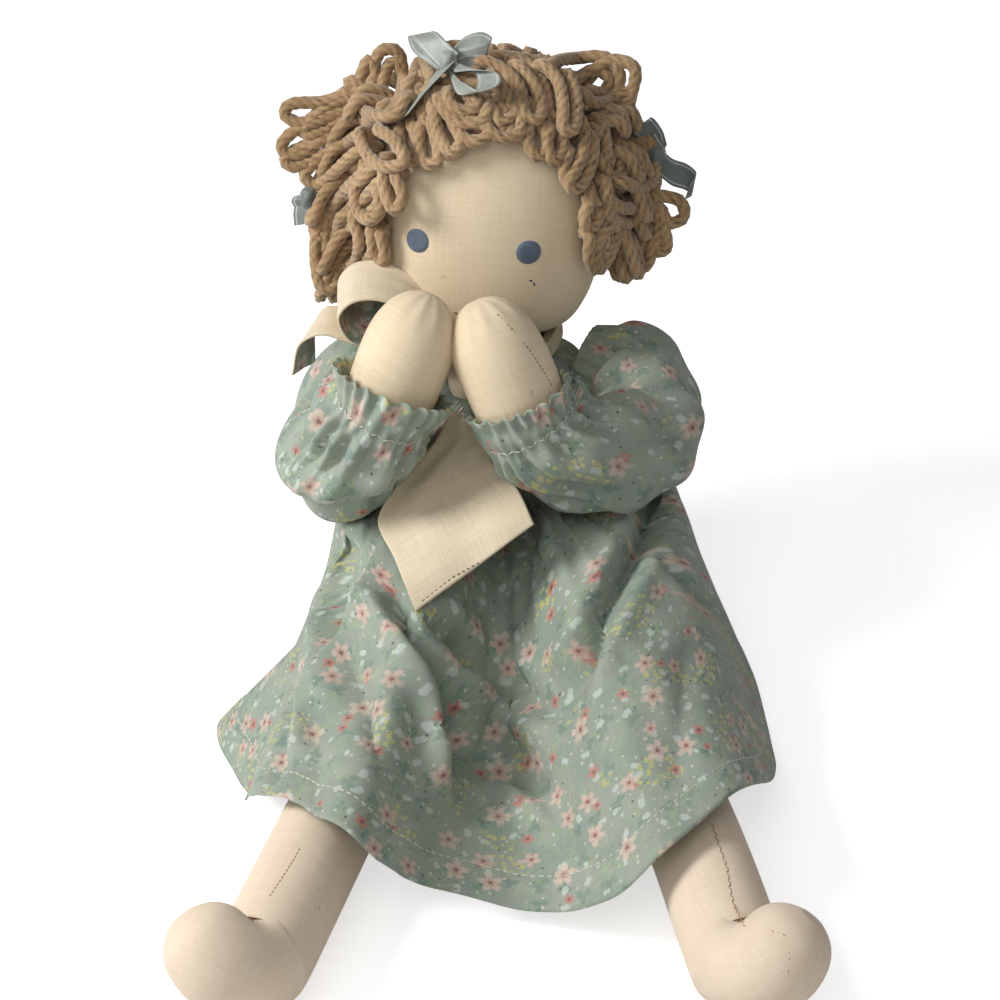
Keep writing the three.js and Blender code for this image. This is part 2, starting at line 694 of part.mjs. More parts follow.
function armCurve({ side, shares }) {
  const reachOut = torsoSize(shoulder_height)[0] + clearance + shoulder_tab;
  const seam = at(side * reachOut, lean(shoulder_height), shoulder_height);
  const points = shares.map(([x, y, z]) => seam.clone().add(at(side * x, y, z).multiplyScalar(arm_length)));
  return new THREE.CatmullRomCurve3(points, false, 'centripetal');
}

const frame_count = 100;

// A ring square to the arm at a share of the way along it.
function armRing(curve, frames, share, radius, sides, ripple = 0) {
  const n = Math.round(share * frame_count);
  const ring = oval(curve.getPointAt(share), frames.normals[n], frames.binormals[n], radius, radius, sides);
  const middle = curve.getPointAt(share);
  return ring.map((p, j) => {
    const out = p.clone().sub(middle).setLength(Math.abs(ripple));
    return j % 2 ? p.add(out) : p.sub(out);
  });
}

function armPieces(name, plan) {
  const curve = armCurve(plan);
  const frames = curve.computeFrenetFrames(frame_count, false);
  const half = arm_thickness;
  const ringAt = (share, radius) => armRing(curve, frames, share, radius, arm_sides);
  const rings = (rows, grow) => rows.map(([s, r]) => ringAt(s, r * half + grow));
  const filled = (rows) => skin(rings(rows, -cover_wall - clearance));
  const everyOther = (rows) => rows.filter((_, n) => n % 2 === 0 || n === rows.length - 1);

  const upper_in = [upper_arm_shares[0], upper_arm_shares[1], upper_arm_shares[3], upper_arm_shares[4]];
  const upper = [...rings(upper_arm_shares, 0).reverse(), ...rings(upper_in, -cover_wall)];
  add(`${name}_upper_arm`, skin(upper), cotton);
  add(`${name}_upper_arm_stuffing`, filled(upper_in.slice(1)), filling);

  const fore_in = everyOther(forearm_shares.slice(0, -1));
  const fore = [...rings(forearm_shares, 0).reverse(), ...rings(fore_in, -cover_wall)];
  const tip = curve.getPointAt(1);
  add(`${name}_forearm`, skin(fore, { first: tip }), cotton);
  add(`${name}_forearm_stuffing`, filled(fore_in.slice(1)), filling);

  const halfBand = elastic_width / arm_length / 2;
  const wrist = alongRows(forearm_shares, cuff_share + halfBand) * half + 2 * clearance;
  const inner = [cuff_share - halfBand, cuff_share + halfBand].map((s) => ringAt(s, wrist));
  const around = wrist + elastic_thickness;
  const outer = [cuff_share + halfBand, cuff_share - halfBand].map((s) => ringAt(s, around));
  add(`${name}_cuff_elastic`, skin([...inner, ...outer], { tyre: true }), rubber);

  // The sleeve: how far along, the share of its fullness, and how deeply it puckers there.
  const gather = wrist + elastic_thickness + clearance + dress_wall;
  const full = sleeve_radius;
  const rows = [
    [0.01, full * 0.7, 0.5], [0.06, full * 0.86, 0.6], [0.14, full, 0.3], [0.26, full * 1.03, 0.3],
    [0.38, full * 1.02, 0.5], [0.48, full, 0.7], [0.57, full * 0.92, 0.8], [0.65, full * 0.94, 0.7],
    [cuff_share, gather + 0.6, 0.3], [cuff_share + 0.03, mix(gather, cuff_frill, 0.5), 0.5],
    [cuff_share + 0.06, cuff_frill, 1],
  ];
  // Inside a bend the cloth can't stand out farther than the middle of the bend.
  const length = curve.getLength();
  const bendAt = (share) => {
    const [low, high] = [Math.max(share - 0.04, 0), Math.min(share + 0.04, 1)];
    return curve.getTangentAt(high).sub(curve.getTangentAt(low)).divideScalar((high - low) * length);
  };
  const sleeveRing = ([share, r, pucker], grow) => {
    const bend = bendAt(share);
    const centre = curve.getPointAt(share);
    return armRing(curve, frames, share, r, sleeve_sides, pucker * dress_wall).map((p) => {
      const out = p.sub(centre);
      const room = 0.78 / Math.max(out.clone().normalize().dot(bend), 1 / length);
      return centre.clone().add(out.setLength(Math.min(out.length(), room) + grow));
    });
  };
  const inward = curve.getTangentAt(0).multiplyScalar(-full * 0.4);
  const root = (grow) => sleeveRing(rows[0], grow).map((p) => p.add(inward));
  const outside = [root(0), ...rows.map((row) => sleeveRing(row, 0))];
  const inside = [root(-dress_wall), ...rows.map((row) => sleeveRing(row, -dress_wall))];
  const tube = skin([...outside, ...inside.reverse()], { tyre: true });
  const chest_rows = torso_shares.map(([s]) => torsoRing(s * torso_height, ease + dress_wall + clearance));
  add(`${name}_sleeve`, cut(tube, skin(chest_rows)), print);
}
for (const [name, plan] of Object.entries(arm_plan)) armPieces(name, plan);

// Legs: rings of the place along the leg and above its middle line, the tilt of the ring, and
// half its width and its thickness. The shares are of the length, the toe's reach and the
// leg's thickness.
const leg_shares = [
  [-0.0105, 0, 0, 0.58, 0.05], [-0.008, 0, 0, 0.6, 0.08], [0, 0, 0, 0.62, 0.14], [0.035, 0, 0, 0.82, 0.3],
  [0.09, 0, 0, 0.98, 0.64], [0.17, 0, 0, 1.02, 0.9], [0.36, 0, 0, 1.03, 1], [0.58, 0, 0, 0.98, 0.985],
  [0.76, 0, 0, 0.98, 0.985], [0.82, 0, 18, 1, 1.02],
  [0.88, 0.05, 48, 1.05, 1.2], [0.915, 0.36, 78, 1.08, 1.16], [0.912, 0.59, 92, 1.06, 1.08],
  [0.91, 0.8, 95, 0.88, 0.88], [0.907, 0.94, 96, 0.52, 0.48],
];
const toe_share = 0.906;
const leg_sides = 16;

function torsoFront(x, z) {
  const [halfWidth, halfDepth] = torsoSize(z);
  return lean(z) - halfDepth * (1 - (Math.abs(x) / halfWidth) ** torso_squareness) ** (1 / torso_squareness);
}

const hip_height = leg_thickness / 2 - leg_sink;
const hip_inner = (hip_spacing - hip_tab_width) / 2;
const hip = at(hip_spacing / 2, torsoFront(hip_inner, hip_height) - clearance - hip_tab, hip_height);

const leg_plan = {
  left: { side: 1, angle: left_leg_angle, bow: left_leg_bow, roll: left_foot_roll },
  right: { side: -1, angle: right_leg_angle, bow: right_leg_bow, roll: right_foot_roll },
};

// A point of the leg's middle line, in the leg's own frame with the hip at its origin.
const legMiddle = ({ side, bow }, share) =>
  at(side * bow * Math.sin(Math.PI * Math.min(share * 1.05, 1)) ** 2, -share * leg_length, 0);

function legRings(plan, grow, rows = leg_shares) {
  const { side, angle, roll } = plan;
  const half = leg_thickness / 2;
  return rows.map(([l, h, tilt, a, b]) => {
    const twist = side * turn(roll) * smooth(l, 0.15, 0.75);
    const u = SIDEWAYS.clone().applyAxisAngle(UP, -side * turn(angle) * (1 - smooth(l, 0, 0.15)));
    const v = at(0, Math.sin(turn(tilt)), Math.cos(turn(tilt))).applyAxisAngle(AHEAD, -twist);
    u.applyAxisAngle(AHEAD, -twist);
    const turnedUp = UP.clone().applyAxisAngle(AHEAD, -twist).multiplyScalar(h * toe_reach);
    const middle = legMiddle(plan, l).add(turnedUp);
    const [wide, thick] = [Math.max(a * half + grow, 0.1 * half), Math.max(b * half + grow, 0.05 * half)];
    return oval(middle, u, v, wide, thick, leg_sides);
  });
}

const placeLeg = ({ side, angle }, item) => {
  if (item.isVector3) return item.applyAxisAngle(UP, side * turn(angle)).add(at(side * hip.x, hip.y, hip.z));
  return item.rotateZ(side * turn(angle)).translate(side * hip.x, hip.y, hip.z);
};

function legPieces(name, plan) {
  const toe = legMiddle(plan, toe_share).add(
    UP.clone().applyAxisAngle(AHEAD, -plan.side * turn(plan.roll)).multiplyScalar(toe_reach)
  );
  const inside = [3, 4, 6, 7, 8, 10, 11, 13].map((n) => leg_shares[n]);
  const outer = legRings(plan, 0).reverse();
  const inner = legRings(plan, -cover_wall, [leg_shares[0], ...inside]);
  add(`${name}_leg`, cut(placeLeg(plan, skin([...outer, ...inner], { first: toe })), floor), cotton);
  const stuffing = placeLeg(plan, skin(legRings(plan, -cover_wall - clearance, inside)));
  add(`${name}_leg_stuffing`, stuffing, filling);
}
for (const [name, plan] of Object.entries(leg_plan)) legPieces(name, plan);

// Dress: the bodice follows the torso, and its armholes let the arms through.
const bodice_sides = torso_sides;

function bodicePiece() {
  const waist = waist_height + clearance;
  const heights = [...torso_shares.map(([share]) => share), 0.945].map((share) => share * torso_height);
  const rows = [waist, ...heights.filter((z) => z > waist && z < 0.95 * torso_height).sort((m, n) => m - n)];
  const outer = rows.map((z) => torsoRing(z, ease + dress_wall, bodice_sides));
  const inner = rows.map((z) => torsoRing(z, ease, bodice_sides));
  const tube = skin([...outer, ...inner.reverse()], { tyre: true });
  const hole = new THREE.CylinderGeometry(armhole_radius, armhole_radius, torso_width * 2, 16);
  hole.rotateZ(Math.PI / 2).translate(0, lean(shoulder_height), shoulder_height);
  add('dress_bodice', cut(tube, hole), print);
}
bodicePiece();

// Skirt: its hem as shares of its spread, its reach ahead of the seat and the lap's height,
// from the middle of the back round by the doll's right side. The last number is how much of
// the lap's height the cloth holds halfway down.
const hem_shares = [
  [0, 0.27, 0, 0.45], [-0.42, 0.21, 0, 0.42], [-0.66, 0.06, 0, 0.5], [-0.71, -0.12, 0, 0.6],
  [-0.76, -0.29, 0, 0.7], [-0.99, -0.43, 0, 0.85], [-0.9, -0.6, 0.1, 0.95], [-0.72, -0.82, 0.62, 1.02],
  [-0.5, -0.95, 0.98, 1.08], [-0.32, -0.97, 0.6, 0.85],
  [-0.1, -0.94, 0.22, 0.5], [0.12, -0.96, 0.18, 0.5], [0.34, -1, 0.45, 0.8], [0.52, -0.98, 0.9, 1.04],
  [0.72, -0.88, 0.98, 1.08], [0.92, -0.66, 0.35, 0.98], [0.94, -0.42, 0, 0.8], [0.88, -0.2, 0, 0.6],
  [0.76, 0.02, 0, 0.5], [0.46, 0.22, 0, 0.42],
];
const skirt_columns = 48;
const skirt_rows = 8;
const pleats = 15;

// The nearest distance from a point to a leg's middle line, and the way out of the leg there.
function offLeg(plan, point) {
  let best = { distance: Infinity };
  for (let n = 2; n <= 20; n++) {
    const spot = placeLeg(plan, legMiddle(plan, (n / 20) * 0.86));
    const away = point.clone().sub(spot);
    const distance = Math.hypot(away.x, away.z, away.y * 0.2);
    if (distance < best.distance) best = { distance, away, spot };
  }
  return best;
}

function skirtPiece() {
  const hem = new THREE.CatmullRomCurve3(hem_shares.map(([x, y, z]) => at(x, y, z)), true, 'centripetal');
  const drape = new THREE.CatmullRomCurve3(hem_shares.map(([x, y, , w]) => at(x, y, w)), true, 'centripetal');
  const lap = leg_thickness + lap_rise;
  const spotAt = (n, j) => {
    const t = n / (skirt_rows - 1);
    const around = j / skirt_columns;
    const low = hem.getPoint(around);
    const edge = at(low.x * skirt_spread, low.y * skirt_reach, low.z * lap + hem_clearance + skirt_wall);
    const angle = Math.atan2(edge.x, -edge.y);
    const start = aroundTorso(angle, waist_height, ease + dress_wall);
    const held = drape.getPoint(around).z * lap;
    const fullness = mix(low.x < 0 ? 0.16 : 0.26, 0.42, smooth(-low.y, low.x < 0 ? 0.3 : 0, 0.85));
    const middle = start.clone().lerp(edge, fullness).setZ(Math.max(held * fullness * 2.4, edge.z));
    const shoulder = start.clone().lerp(edge, 0.16).setZ(mix(waist_height, middle.z, 0.25));
    const path = new THREE.CatmullRomCurve3([start, shoulder, middle, edge], false, 'centripetal');
    const point = path.getPoint(t);
    const out = at(Math.sin(angle), -Math.cos(angle), 0);
    const swell = pleat_depth * Math.sin(Math.PI * Math.min(1, t * 1.2));
    const fold = Math.cos(around * pleats * 2 * Math.PI) * swell;
    point.addScaledVector(UP, fold * 0.7).addScaledVector(out, fold * 0.4);
    for (const plan of Object.values(leg_plan)) {
      const { distance, away } = offLeg(plan, point);
      const room = (leg_thickness / 2) * 1.06 + clearance + skirt_wall;
      if (distance < room && t > 0) point.add(at(away.x, 0, Math.max(away.z, 0)).setLength(room - distance));
    }
    if (t > 0) point.z = Math.max(point.z, hem_clearance + skirt_wall);
    return point;
  };
  const counted = (length) => Array.from({ length }, (_, n) => n);
  const outer = counted(skirt_rows).map((n) => counted(skirt_columns).map((j) => spotAt(n, j)));
  // The wall goes inwards, square to the cloth. At the waist it is square to the torso.
  const inner = outer.map((row, n) =>
    row.map((p, j) => {
      const beside = row[(j + 1) % skirt_columns].clone().sub(row[(j + skirt_columns - 1) % skirt_columns]);
      const below = outer[Math.min(n + 1, skirt_rows - 1)][j].clone().sub(outer[Math.max(n - 1, 0)][j]);
      const inward = n > 0 ? beside.cross(below) : at(-p.x, lean(waist_height) - p.y, 0);
      return p.clone().add(inward.setLength(skirt_wall));
    })
  );
  add('dress_skirt', skin([...outer, ...inner.reverse()], { tyre: true }), print);
}
skirtPiece();

// Scarf: a band round the neck, a knot in front, and the bow's loops and tails.
const band_middle = (angle) => {
  const z = torso_height * (0.99 + 0.035 * Math.abs(Math.sin(angle)) ** 2);
  const y = lean(torso_height) - (Math.cos(angle) * neckband_depth) / 2;
  return at((Math.sin(angle) * neckband_width) / 2, y, z);
};

function neckband() {
  const sides = 22;
  const rings = Array.from({ length: sides }, (_, n) => {
    const angle = (2 * Math.PI * n) / sides;
    const out = at(Math.sin(angle), -Math.cos(angle), -0.25).normalize();
    const upward = at(0, 0, 1).addScaledVector(out, 0.25).normalize();
    return oval(band_middle(angle), out, upward, neckband_thickness / 2, neckband_height / 2, 8);
  });
  add('scarf_neckband', skin(rings, { tyre: true }), linen);
}
neckband();

const knot = band_middle(turn(-22)).add(at(0, -(neckband_thickness + knot_width * 0.6) / 2 - clearance, 0));

function knotPiece() {
  const shares = [-0.5, -0.4, -0.15, 0.15, 0.4, 0.5];
  const rings = shares.map((s) => {
    const r = knot_width * (0.5 - 0.9 * s * s);
    return oval(knot.clone().add(at(0, 0, s * knot_width)), SIDEWAYS, AHEAD, r, r * 0.6, 10);
  });
  add('scarf_knot', skin(rings), linen);
}
knotPiece();

// Rows are a place from the knot and the reach across the cloth there, as shares of the tail.
const scarf_shares = {
  scarf_loop_right: [
    [[-0.123, -0.02, 0.04], [0, -0.02, 0.1]], [[-0.3, -0.09, 0.4], [0.02, 0, 0.2]],
    [[-0.5, -0.12, 0.54], [0, 0, 0.3]], [[-0.66, -0.08, 0.5], [0, 0, 0.36]],
    [[-0.64, -0.01, 0.47], [0, 0, 0.36]], [[-0.47, 0, 0.4], [0, 0, 0.28]],
    [[-0.32, 0, 0.22], [0, 0, 0.2]], [[-0.2, 0.02, 0.08], [0, 0.02, 0.12]],
  ],
  scarf_loop_left: [
    [[0.119, -0.02, 0.03], [0, 0, 0.1]], [[0.3, -0.05, 0.09], [0, 0, 0.13]],
    [[0.46, -0.03, 0.12], [0, 0, 0.14]], [[0.52, 0.03, 0.12], [0, 0, 0.14]],
    [[0.44, 0.05, 0.11], [0, 0, 0.13]], [[0.28, 0.01, 0.06], [0, 0, 0.1]],
  ],
  scarf_tail_side: [
    [[-0.15, 0.01, -0.06], [0, 0.04, 0.08]], [[-0.42, 0.03, 0.12], [0, 0.08, 0.14]],
    [[-0.68, 0.04, 0.19], [0, 0.04, 0.18]], [[-0.9, 0, 0.17], [0.05, -0.04, 0.26]],
  ],
  scarf_tail_back: [
    [[-0.06, -0.02, -0.142], [-0.03, 0.08, 0]], [[-0.17, -0.12, -0.22], [-0.04, 0.12, 0]],
    [[-0.28, -0.2, -0.32], [-0.06, 0.14, 0]], [[-0.36, -0.18, -0.4], [-0.06, 0.14, 0]],
  ],
  scarf_tail_front: [
    [[0, -0.15, -0.12], [0.22, 0, 0.02]], [[-0.03, -0.27, -0.22], [0.34, 0.05, 0.06]],
    [[-0.12, -0.39, -0.3], [0.5, 0.12, 0.14]], [[-0.19, -0.52, -0.39], [0.6, 0.2, 0.24]],
    [[-0.075, -0.6, -0.55], [0.63, 0.24, 0.3]], [[0.025, -0.75, -0.72], [0.61, 0.26, 0.37]],
  ],
};
const under = {
  scarf_tail_back: ['dress_bodice', 'dress_skirt'],
  scarf_tail_front: ['dress_bodice', 'dress_skirt', 'scarf_tail_back'],
};
for (const [name, rows] of Object.entries(scarf_shares)) {
  const onto = (under[name] ?? []).map((below) => group.getObjectByName(below));
  add(name, strip(knot, scarf_tail_length, rows, rows.length + 4, 5, scarf_thickness, 0, onto), linen);
}

// Two flat buttons that close the dress at the back.
function backButtons() {
  const heights = { back_button_upper: 0.86, back_button_lower: 0.74 };
  for (const [name, share] of Object.entries(heights)) {
    const z = share * torso_height;
    const y = lean(z) + torsoSize(z)[1] + ease + dress_wall + clearance * 2.6;
    const geometry = boss(button_diameter, button_thickness).rotateZ(Math.PI);
    add(name, geometry.translate(0, y, z), shell);
  }
}
backButtons();

export default group;
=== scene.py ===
# A cloth rag doll that sits with its legs forward and holds both hands to its mouth.
# Metres, +Z up. The doll faces -Y, and its own left side is +X.
import json
import math

import bpy
import numpy as np
from mathutils import Euler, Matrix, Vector
from mathutils.bvhtree import BVHTree


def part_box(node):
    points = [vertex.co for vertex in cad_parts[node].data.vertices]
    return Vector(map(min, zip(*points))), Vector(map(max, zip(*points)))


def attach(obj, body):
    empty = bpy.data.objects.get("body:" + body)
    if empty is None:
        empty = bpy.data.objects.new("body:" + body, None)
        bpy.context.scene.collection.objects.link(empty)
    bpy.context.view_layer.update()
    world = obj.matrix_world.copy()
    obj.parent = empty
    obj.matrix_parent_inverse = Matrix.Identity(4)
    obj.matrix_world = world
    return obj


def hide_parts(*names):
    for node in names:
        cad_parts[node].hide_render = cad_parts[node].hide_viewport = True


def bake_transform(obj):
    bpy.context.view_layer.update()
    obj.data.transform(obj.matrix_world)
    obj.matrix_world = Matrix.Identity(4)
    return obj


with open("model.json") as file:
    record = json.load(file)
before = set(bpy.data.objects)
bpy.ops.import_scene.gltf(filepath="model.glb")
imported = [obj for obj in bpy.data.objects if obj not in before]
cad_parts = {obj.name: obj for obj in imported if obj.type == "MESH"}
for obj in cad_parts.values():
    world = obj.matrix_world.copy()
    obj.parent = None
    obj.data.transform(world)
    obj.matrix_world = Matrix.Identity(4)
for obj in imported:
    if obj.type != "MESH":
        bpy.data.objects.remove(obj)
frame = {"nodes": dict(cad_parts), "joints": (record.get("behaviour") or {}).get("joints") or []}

bpy.ops.object.select_all(action="DESELECT")
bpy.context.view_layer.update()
mm = 0.001

# Sizes of the stuffed body, as in the frame
torso_height = 121 * mm
torso_width = 94 * mm
torso_depth = 76 * mm
torso_squareness = 2.3
lean_angle = 7
waist_height = 76 * mm
head_height = 110 * mm
head_width = 100 * mm
head_depth = 84 * mm
head_squareness = 2.15
head_aside = 5.5 * mm
head_turned = (-12, 2.6, -8)
neck_radius = 11 * mm
leg_length = 275 * mm
leg_thickness = 43 * mm
toe_reach = 36.5 * mm
arm_length = 174 * mm
arm_thickness = 38 * mm

# Sizes of the cloth and trims
clearance = 0.35 * mm
dress_wall = 1.3 * mm
ease_out = 0.6 * mm
skirt_wall = 1.2 * mm
skirt_reach = 239 * mm
skirt_spread = 118 * mm
lap_height = leg_thickness + 5 * mm
hem_clearance = 0.8 * mm
sleeve_radius = 23.5 * mm
cuff_frill = 24.5 * mm
yarn_radius = 2.75 * mm
scarf_size = 78 * mm
scarf_wall = 1.0 * mm
ribbon_width = 11 * mm

UP = np.array([0.0, 0.0, 1.0])
AHEAD = np.array([0.0, -1.0, 0.0])
SIDEWAYS = np.array([1.0, 0.0, 0.0])


# Sums on many points at once
def lerp(a, b, t):
    return a + (b - a) * t


def smooth(x, low, high):
    t = np.clip((x - low) / (high - low), 0, 1)
    return t * t * (3 - 2 * t)


def unit(v):
    return v / np.maximum(np.linalg.norm(v, axis=-1, keepdims=True), 1e-12)


def turned(v, axis, degrees):
    """Points turned about an axis through the origin."""
    angle = np.radians(degrees)
    axis = np.asarray(axis, float)
    c, s = np.cos(angle), np.sin(angle)
    v = np.asarray(v, float)
    if np.ndim(c):
        c, s = c[..., None], s[..., None]
    return v * c + np.cross(np.broadcast_to(axis, v.shape), v) * s + axis * (v @ axis)[..., None] * (1 - c)


def spline(points, t, closed=False):
    """Places on the smooth curve through the points, for t from 0 at the first to 1 at the last."""
    P = np.asarray(points, float)
    t = np.asarray(t, float)
    spans = len(P) if closed else len(P) - 1
    i = np.clip(np.floor(t * spans).astype(int), 0, spans - 1)
    w = (t * spans - i)[..., None]
    if closed:
        near = [P[(i + k - 1) % len(P)] for k in range(4)]
    else:
        far = np.concatenate([[2 * P[0] - P[1]], P, [2 * P[-1] - P[-2]]])
        near = [far[i + k] for k in range(4)]
    return curve_from(*near, w)


def curve_from(a, b, c, d, w):
    """Places on the smooth curve from b to c, w of the way, where a is before b and d after c."""
    near = ((a, b), (b, c), (c, d))
    steps = [np.maximum(np.linalg.norm(q - p, axis=-1, keepdims=True), 1e-9) ** 0.5 for p, q in near]
    m = ((b - a) / steps[0] - (c - a) / (steps[0] + steps[1]) + (c - b) / steps[1]) * steps[1]
    n = ((c - b) / steps[1] - (d - b) / (steps[1] + steps[2]) + (d - c) / steps[2]) * steps[1]
    ends = (2 * w**3 - 3 * w**2 + 1) * b + (w**3 - 2 * w**2 + w) * m
    return ends + (3 * w**2 - 2 * w**3) * c + (w**3 - w**2) * n


def spline_between(points, t):
    """A smooth curve through four points for each place, at that place's own t."""
    P = np.stack(points)
    far = np.concatenate([[2 * P[0] - P[1]], P, [2 * P[-1] - P[-2]]])
    i = np.clip(np.floor(t * 3).astype(int), 0, 2)
    rows = np.arange(len(t))
    return curve_from(*(far[i + k, rows] for k in range(4)), (t * 3 - i)[:, None])


def run_along(path):
    """How far along a path each of its points is."""
    return np.concatenate([[0], np.cumsum(np.linalg.norm(np.diff(path, axis=0), axis=1))])


def read_off(at, places, values):
    """The values at some places along a path, from the values at its points."""
    return np.stack([np.interp(at, places, column) for column in np.transpose(values)], axis=-1)


def even_spline(points, t, closed=False):
    """A smooth curve through the points, with t as the share of its length."""
    fine = spline(points, np.linspace(0, 1, 400), closed)
    run = run_along(fine)
    return read_off(np.asarray(t) * run[-1], run, fine)


def evened(values):
    """Each value along a path averaged with the 12 before it and the 12 after it."""
    kernel = np.ones(25) / 25
    columns = [np.pad(v, 12, "edge") for v in np.transpose(values)]
    return np.stack([np.convolve(v, kernel, "valid") for v in columns], axis=-1)


def frames_along(path):
    """A tangent and two directions square to it at each point of a path, which don't twist."""
    tangent = unit(np.gradient(path, axis=0))
    side = np.cross(tangent[0], UP if abs(tangent[0][2]) < 0.9 else AHEAD)
    sides = []
    for along in tangent:
        side = unit(side - along * (side @ along))
        sides.append(side)
    sides = np.array(sides)
    return tangent, sides, np.cross(tangent, sides)


# Meshes
def coordinates(piece):
    co = np.empty(len(piece.data.vertices) * 3)
    piece.data.vertices.foreach_get("co", co)
    return co.reshape(-1, 3)


def put_coordinates(piece, co):
    piece.data.vertices.foreach_set("co", np.ascontiguousarray(co, float).ravel())
    piece.data.update()


def choose(piece):
    bpy.ops.object.select_all(action="DESELECT")
    bpy.context.view_layer.objects.active = piece
    piece.select_set(True)


def patch(name, across, along, place, flat, closed=False, ends=True):
    """A grid of cloth cut to a flat size, with each point (u, v) laid where place(u, v) says. Where
    it is closed, its two sides are sewn together, and its ends too unless they stay open."""
    bpy.ops.mesh.primitive_grid_add(x_subdivisions=across, y_subdivisions=along, size=1)
    piece = bpy.context.object
    piece.name = name
    piece.data.name = name
    co = coordinates(piece)
    put_coordinates(piece, place(co[:, 0] + 0.5, co[:, 1] + 0.5))
    layer = piece.data.uv_layers[0].data
    uv = np.empty(len(layer) * 2)
    layer.foreach_get("uv", uv)
    layer.foreach_set("uv", (uv.reshape(-1, 2) * np.array(flat)).ravel())
    if closed:
        bpy.ops.object.mode_set(mode="EDIT")
        bpy.ops.mesh.select_all(action="SELECT")
        bpy.ops.mesh.remove_doubles(threshold=0.02 * mm)
        if ends:
            bpy.ops.mesh.fill_holes(sides=0)
        bpy.ops.mesh.normals_make_consistent(inside=False)
        bpy.ops.object.mode_set(mode="OBJECT")
        if volume_of(piece) < 0:
            piece.data.flip_normals()
    bpy.ops.object.shade_smooth()
    return piece


def volume_of(piece):
    """The volume inside a closed piece, which is less than 0 where its faces point inward."""
    co = coordinates(piece)
    fans = [
        (face.vertices[0], a, b)
        for face in piece.data.polygons
        for a, b in zip(face.vertices[1:-1], face.vertices[2:])
    ]
    a, b, c = (co[list(corner)] for corner in zip(*fans))
    return (a * np.cross(b, c)).sum() / 6


def apply_modifier(piece, kind, **settings):
    choose(piece)
    modifier = piece.modifiers.new(kind.title(), kind)
    for key, value in settings.items():
        setattr(modifier, key, value)
    bpy.ops.object.modifier_apply(modifier=modifier.name)


def thicken(piece, wall, offset=-1, lining=False):
    """Gives cloth its wall. With a lining, the far side takes the piece's second material."""
    settings = {"thickness": wall, "offset": offset, "use_even_offset": False}
    apply_modifier(piece, "SOLIDIFY", material_offset=1 if lining else 0, **settings)


def area_of(piece):
    return sum(face.area for face in piece.data.polygons)


def finish(piece, materials, body, nodes=()):
    """Gives a finished piece its materials, unless it has them, and the body that it rides on."""
    if materials:
        piece.data.materials.clear()
        for material in materials if isinstance(materials, list) else [materials]:
            piece.data.materials.append(material)
    if body:
        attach(piece, body)
    if nodes:
        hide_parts(*nodes)
    return piece


def joined(name, pieces):
    bpy.ops.object.select_all(action="DESELECT")
    for piece in pieces:
        piece.select_set(True)
    bpy.context.view_layer.objects.active = pieces[0]
    bpy.ops.object.join()
    pieces[0].name = name
    pieces[0].data.name = name
    return pieces[0]


def swell(piece, pressure, cap, slack=0.0, held=None):
    """Blows a sewn form up from inside, as its stuffing does. No point moves more than the cap,
    and the held points, such as those on a seam, stay where they are."""
    start = coordinates(piece)
    choose(piece)
    modifier = piece.modifiers.new("Cloth", "CLOTH")
    settings = modifier.settings
    settings.quality = 6
    settings.mass = 0.2
    settings.tension_stiffness = 25
    settings.compression_stiffness = 25
    settings.shear_stiffness = 10
    settings.bending_stiffness = 0.3
    settings.use_pressure = True
    settings.uniform_pressure_force = pressure
    settings.shrink_min = -slack
    settings.effector_weights.gravity = 0
    modifier.collision_settings.use_collision = False
    modifier.point_cache.frame_start = 1
    modifier.point_cache.frame_end = 20
    if held is not None:
        group = piece.vertex_groups.new(name="held")
        for index in np.flatnonzero(held):
            group.add([int(index)], 1.0, "REPLACE")
        settings.vertex_group_mass = "held"
    scene = bpy.context.scene
    for number in range(1, 21):
        scene.frame_set(number)
    bpy.ops.object.modifier_apply(modifier=modifier.name)
    scene.frame_set(1)
    move = coordinates(piece) - start
    far = np.linalg.norm(move, axis=1, keepdims=True)
    put_coordinates(piece, start + move * np.minimum(1, cap / np.maximum(far, 1e-9)))
    if held is not None:
        piece.vertex_groups.clear()


# Shader nodes
def feed(tree, made, inputs):
    """Links each input to a socket, or sets its value."""
    for key, value in inputs.items():
        if isinstance(value, bpy.types.NodeSocket):
            tree.links.new(value, made.inputs[key])
        else:
            made.inputs[key].default_value = value
    return made


def node(tree, kind, inputs=None, **settings):
    made = tree.nodes.new(kind)
    for key, value in settings.items():
        setattr(made, key, value)
    return feed(tree, made, inputs or {})


def maths(tree, operation, a, b=0.0, clamp=False):
    return node(tree, "ShaderNodeMath", {0: a, 1: b}, operation=operation, use_clamp=clamp).outputs[0]


def vectors(tree, operation, a, b=(0, 0, 0)):
    made = node(tree, "ShaderNodeVectorMath", {0: a, 1: b}, operation=operation)
    return made.outputs["Value"] if operation in ("LENGTH", "DISTANCE", "DOT_PRODUCT") else made.outputs[0]


def scaled(tree, vector, factor):
    return node(tree, "ShaderNodeVectorMath", {0: vector, "Scale": factor}, operation="SCALE").outputs[0]


def noise(tree, vector, scale, detail=2.0):
    inputs = {"Vector": vector, "Scale": scale, "Detail": detail}
    return node(tree, "ShaderNodeTexNoise", inputs).outputs["Fac"]


def ramp(tree, value, low, high, to_low=0.0, to_high=1.0):
    inputs = {"Value": value, "From Min": low, "From Max": high, "To Min": to_low, "To Max": to_high}
    return node(tree, "ShaderNodeMapRange", inputs, interpolation_type="SMOOTHSTEP").outputs[0]


def blend_colours(tree, share, a, b, mode="MIX"):
    made = node(tree, "ShaderNodeMix", {"Factor": share}, data_type="RGBA", blend_type=mode)
    return feed(tree, made, {6: a, 7: b}).outputs[2]


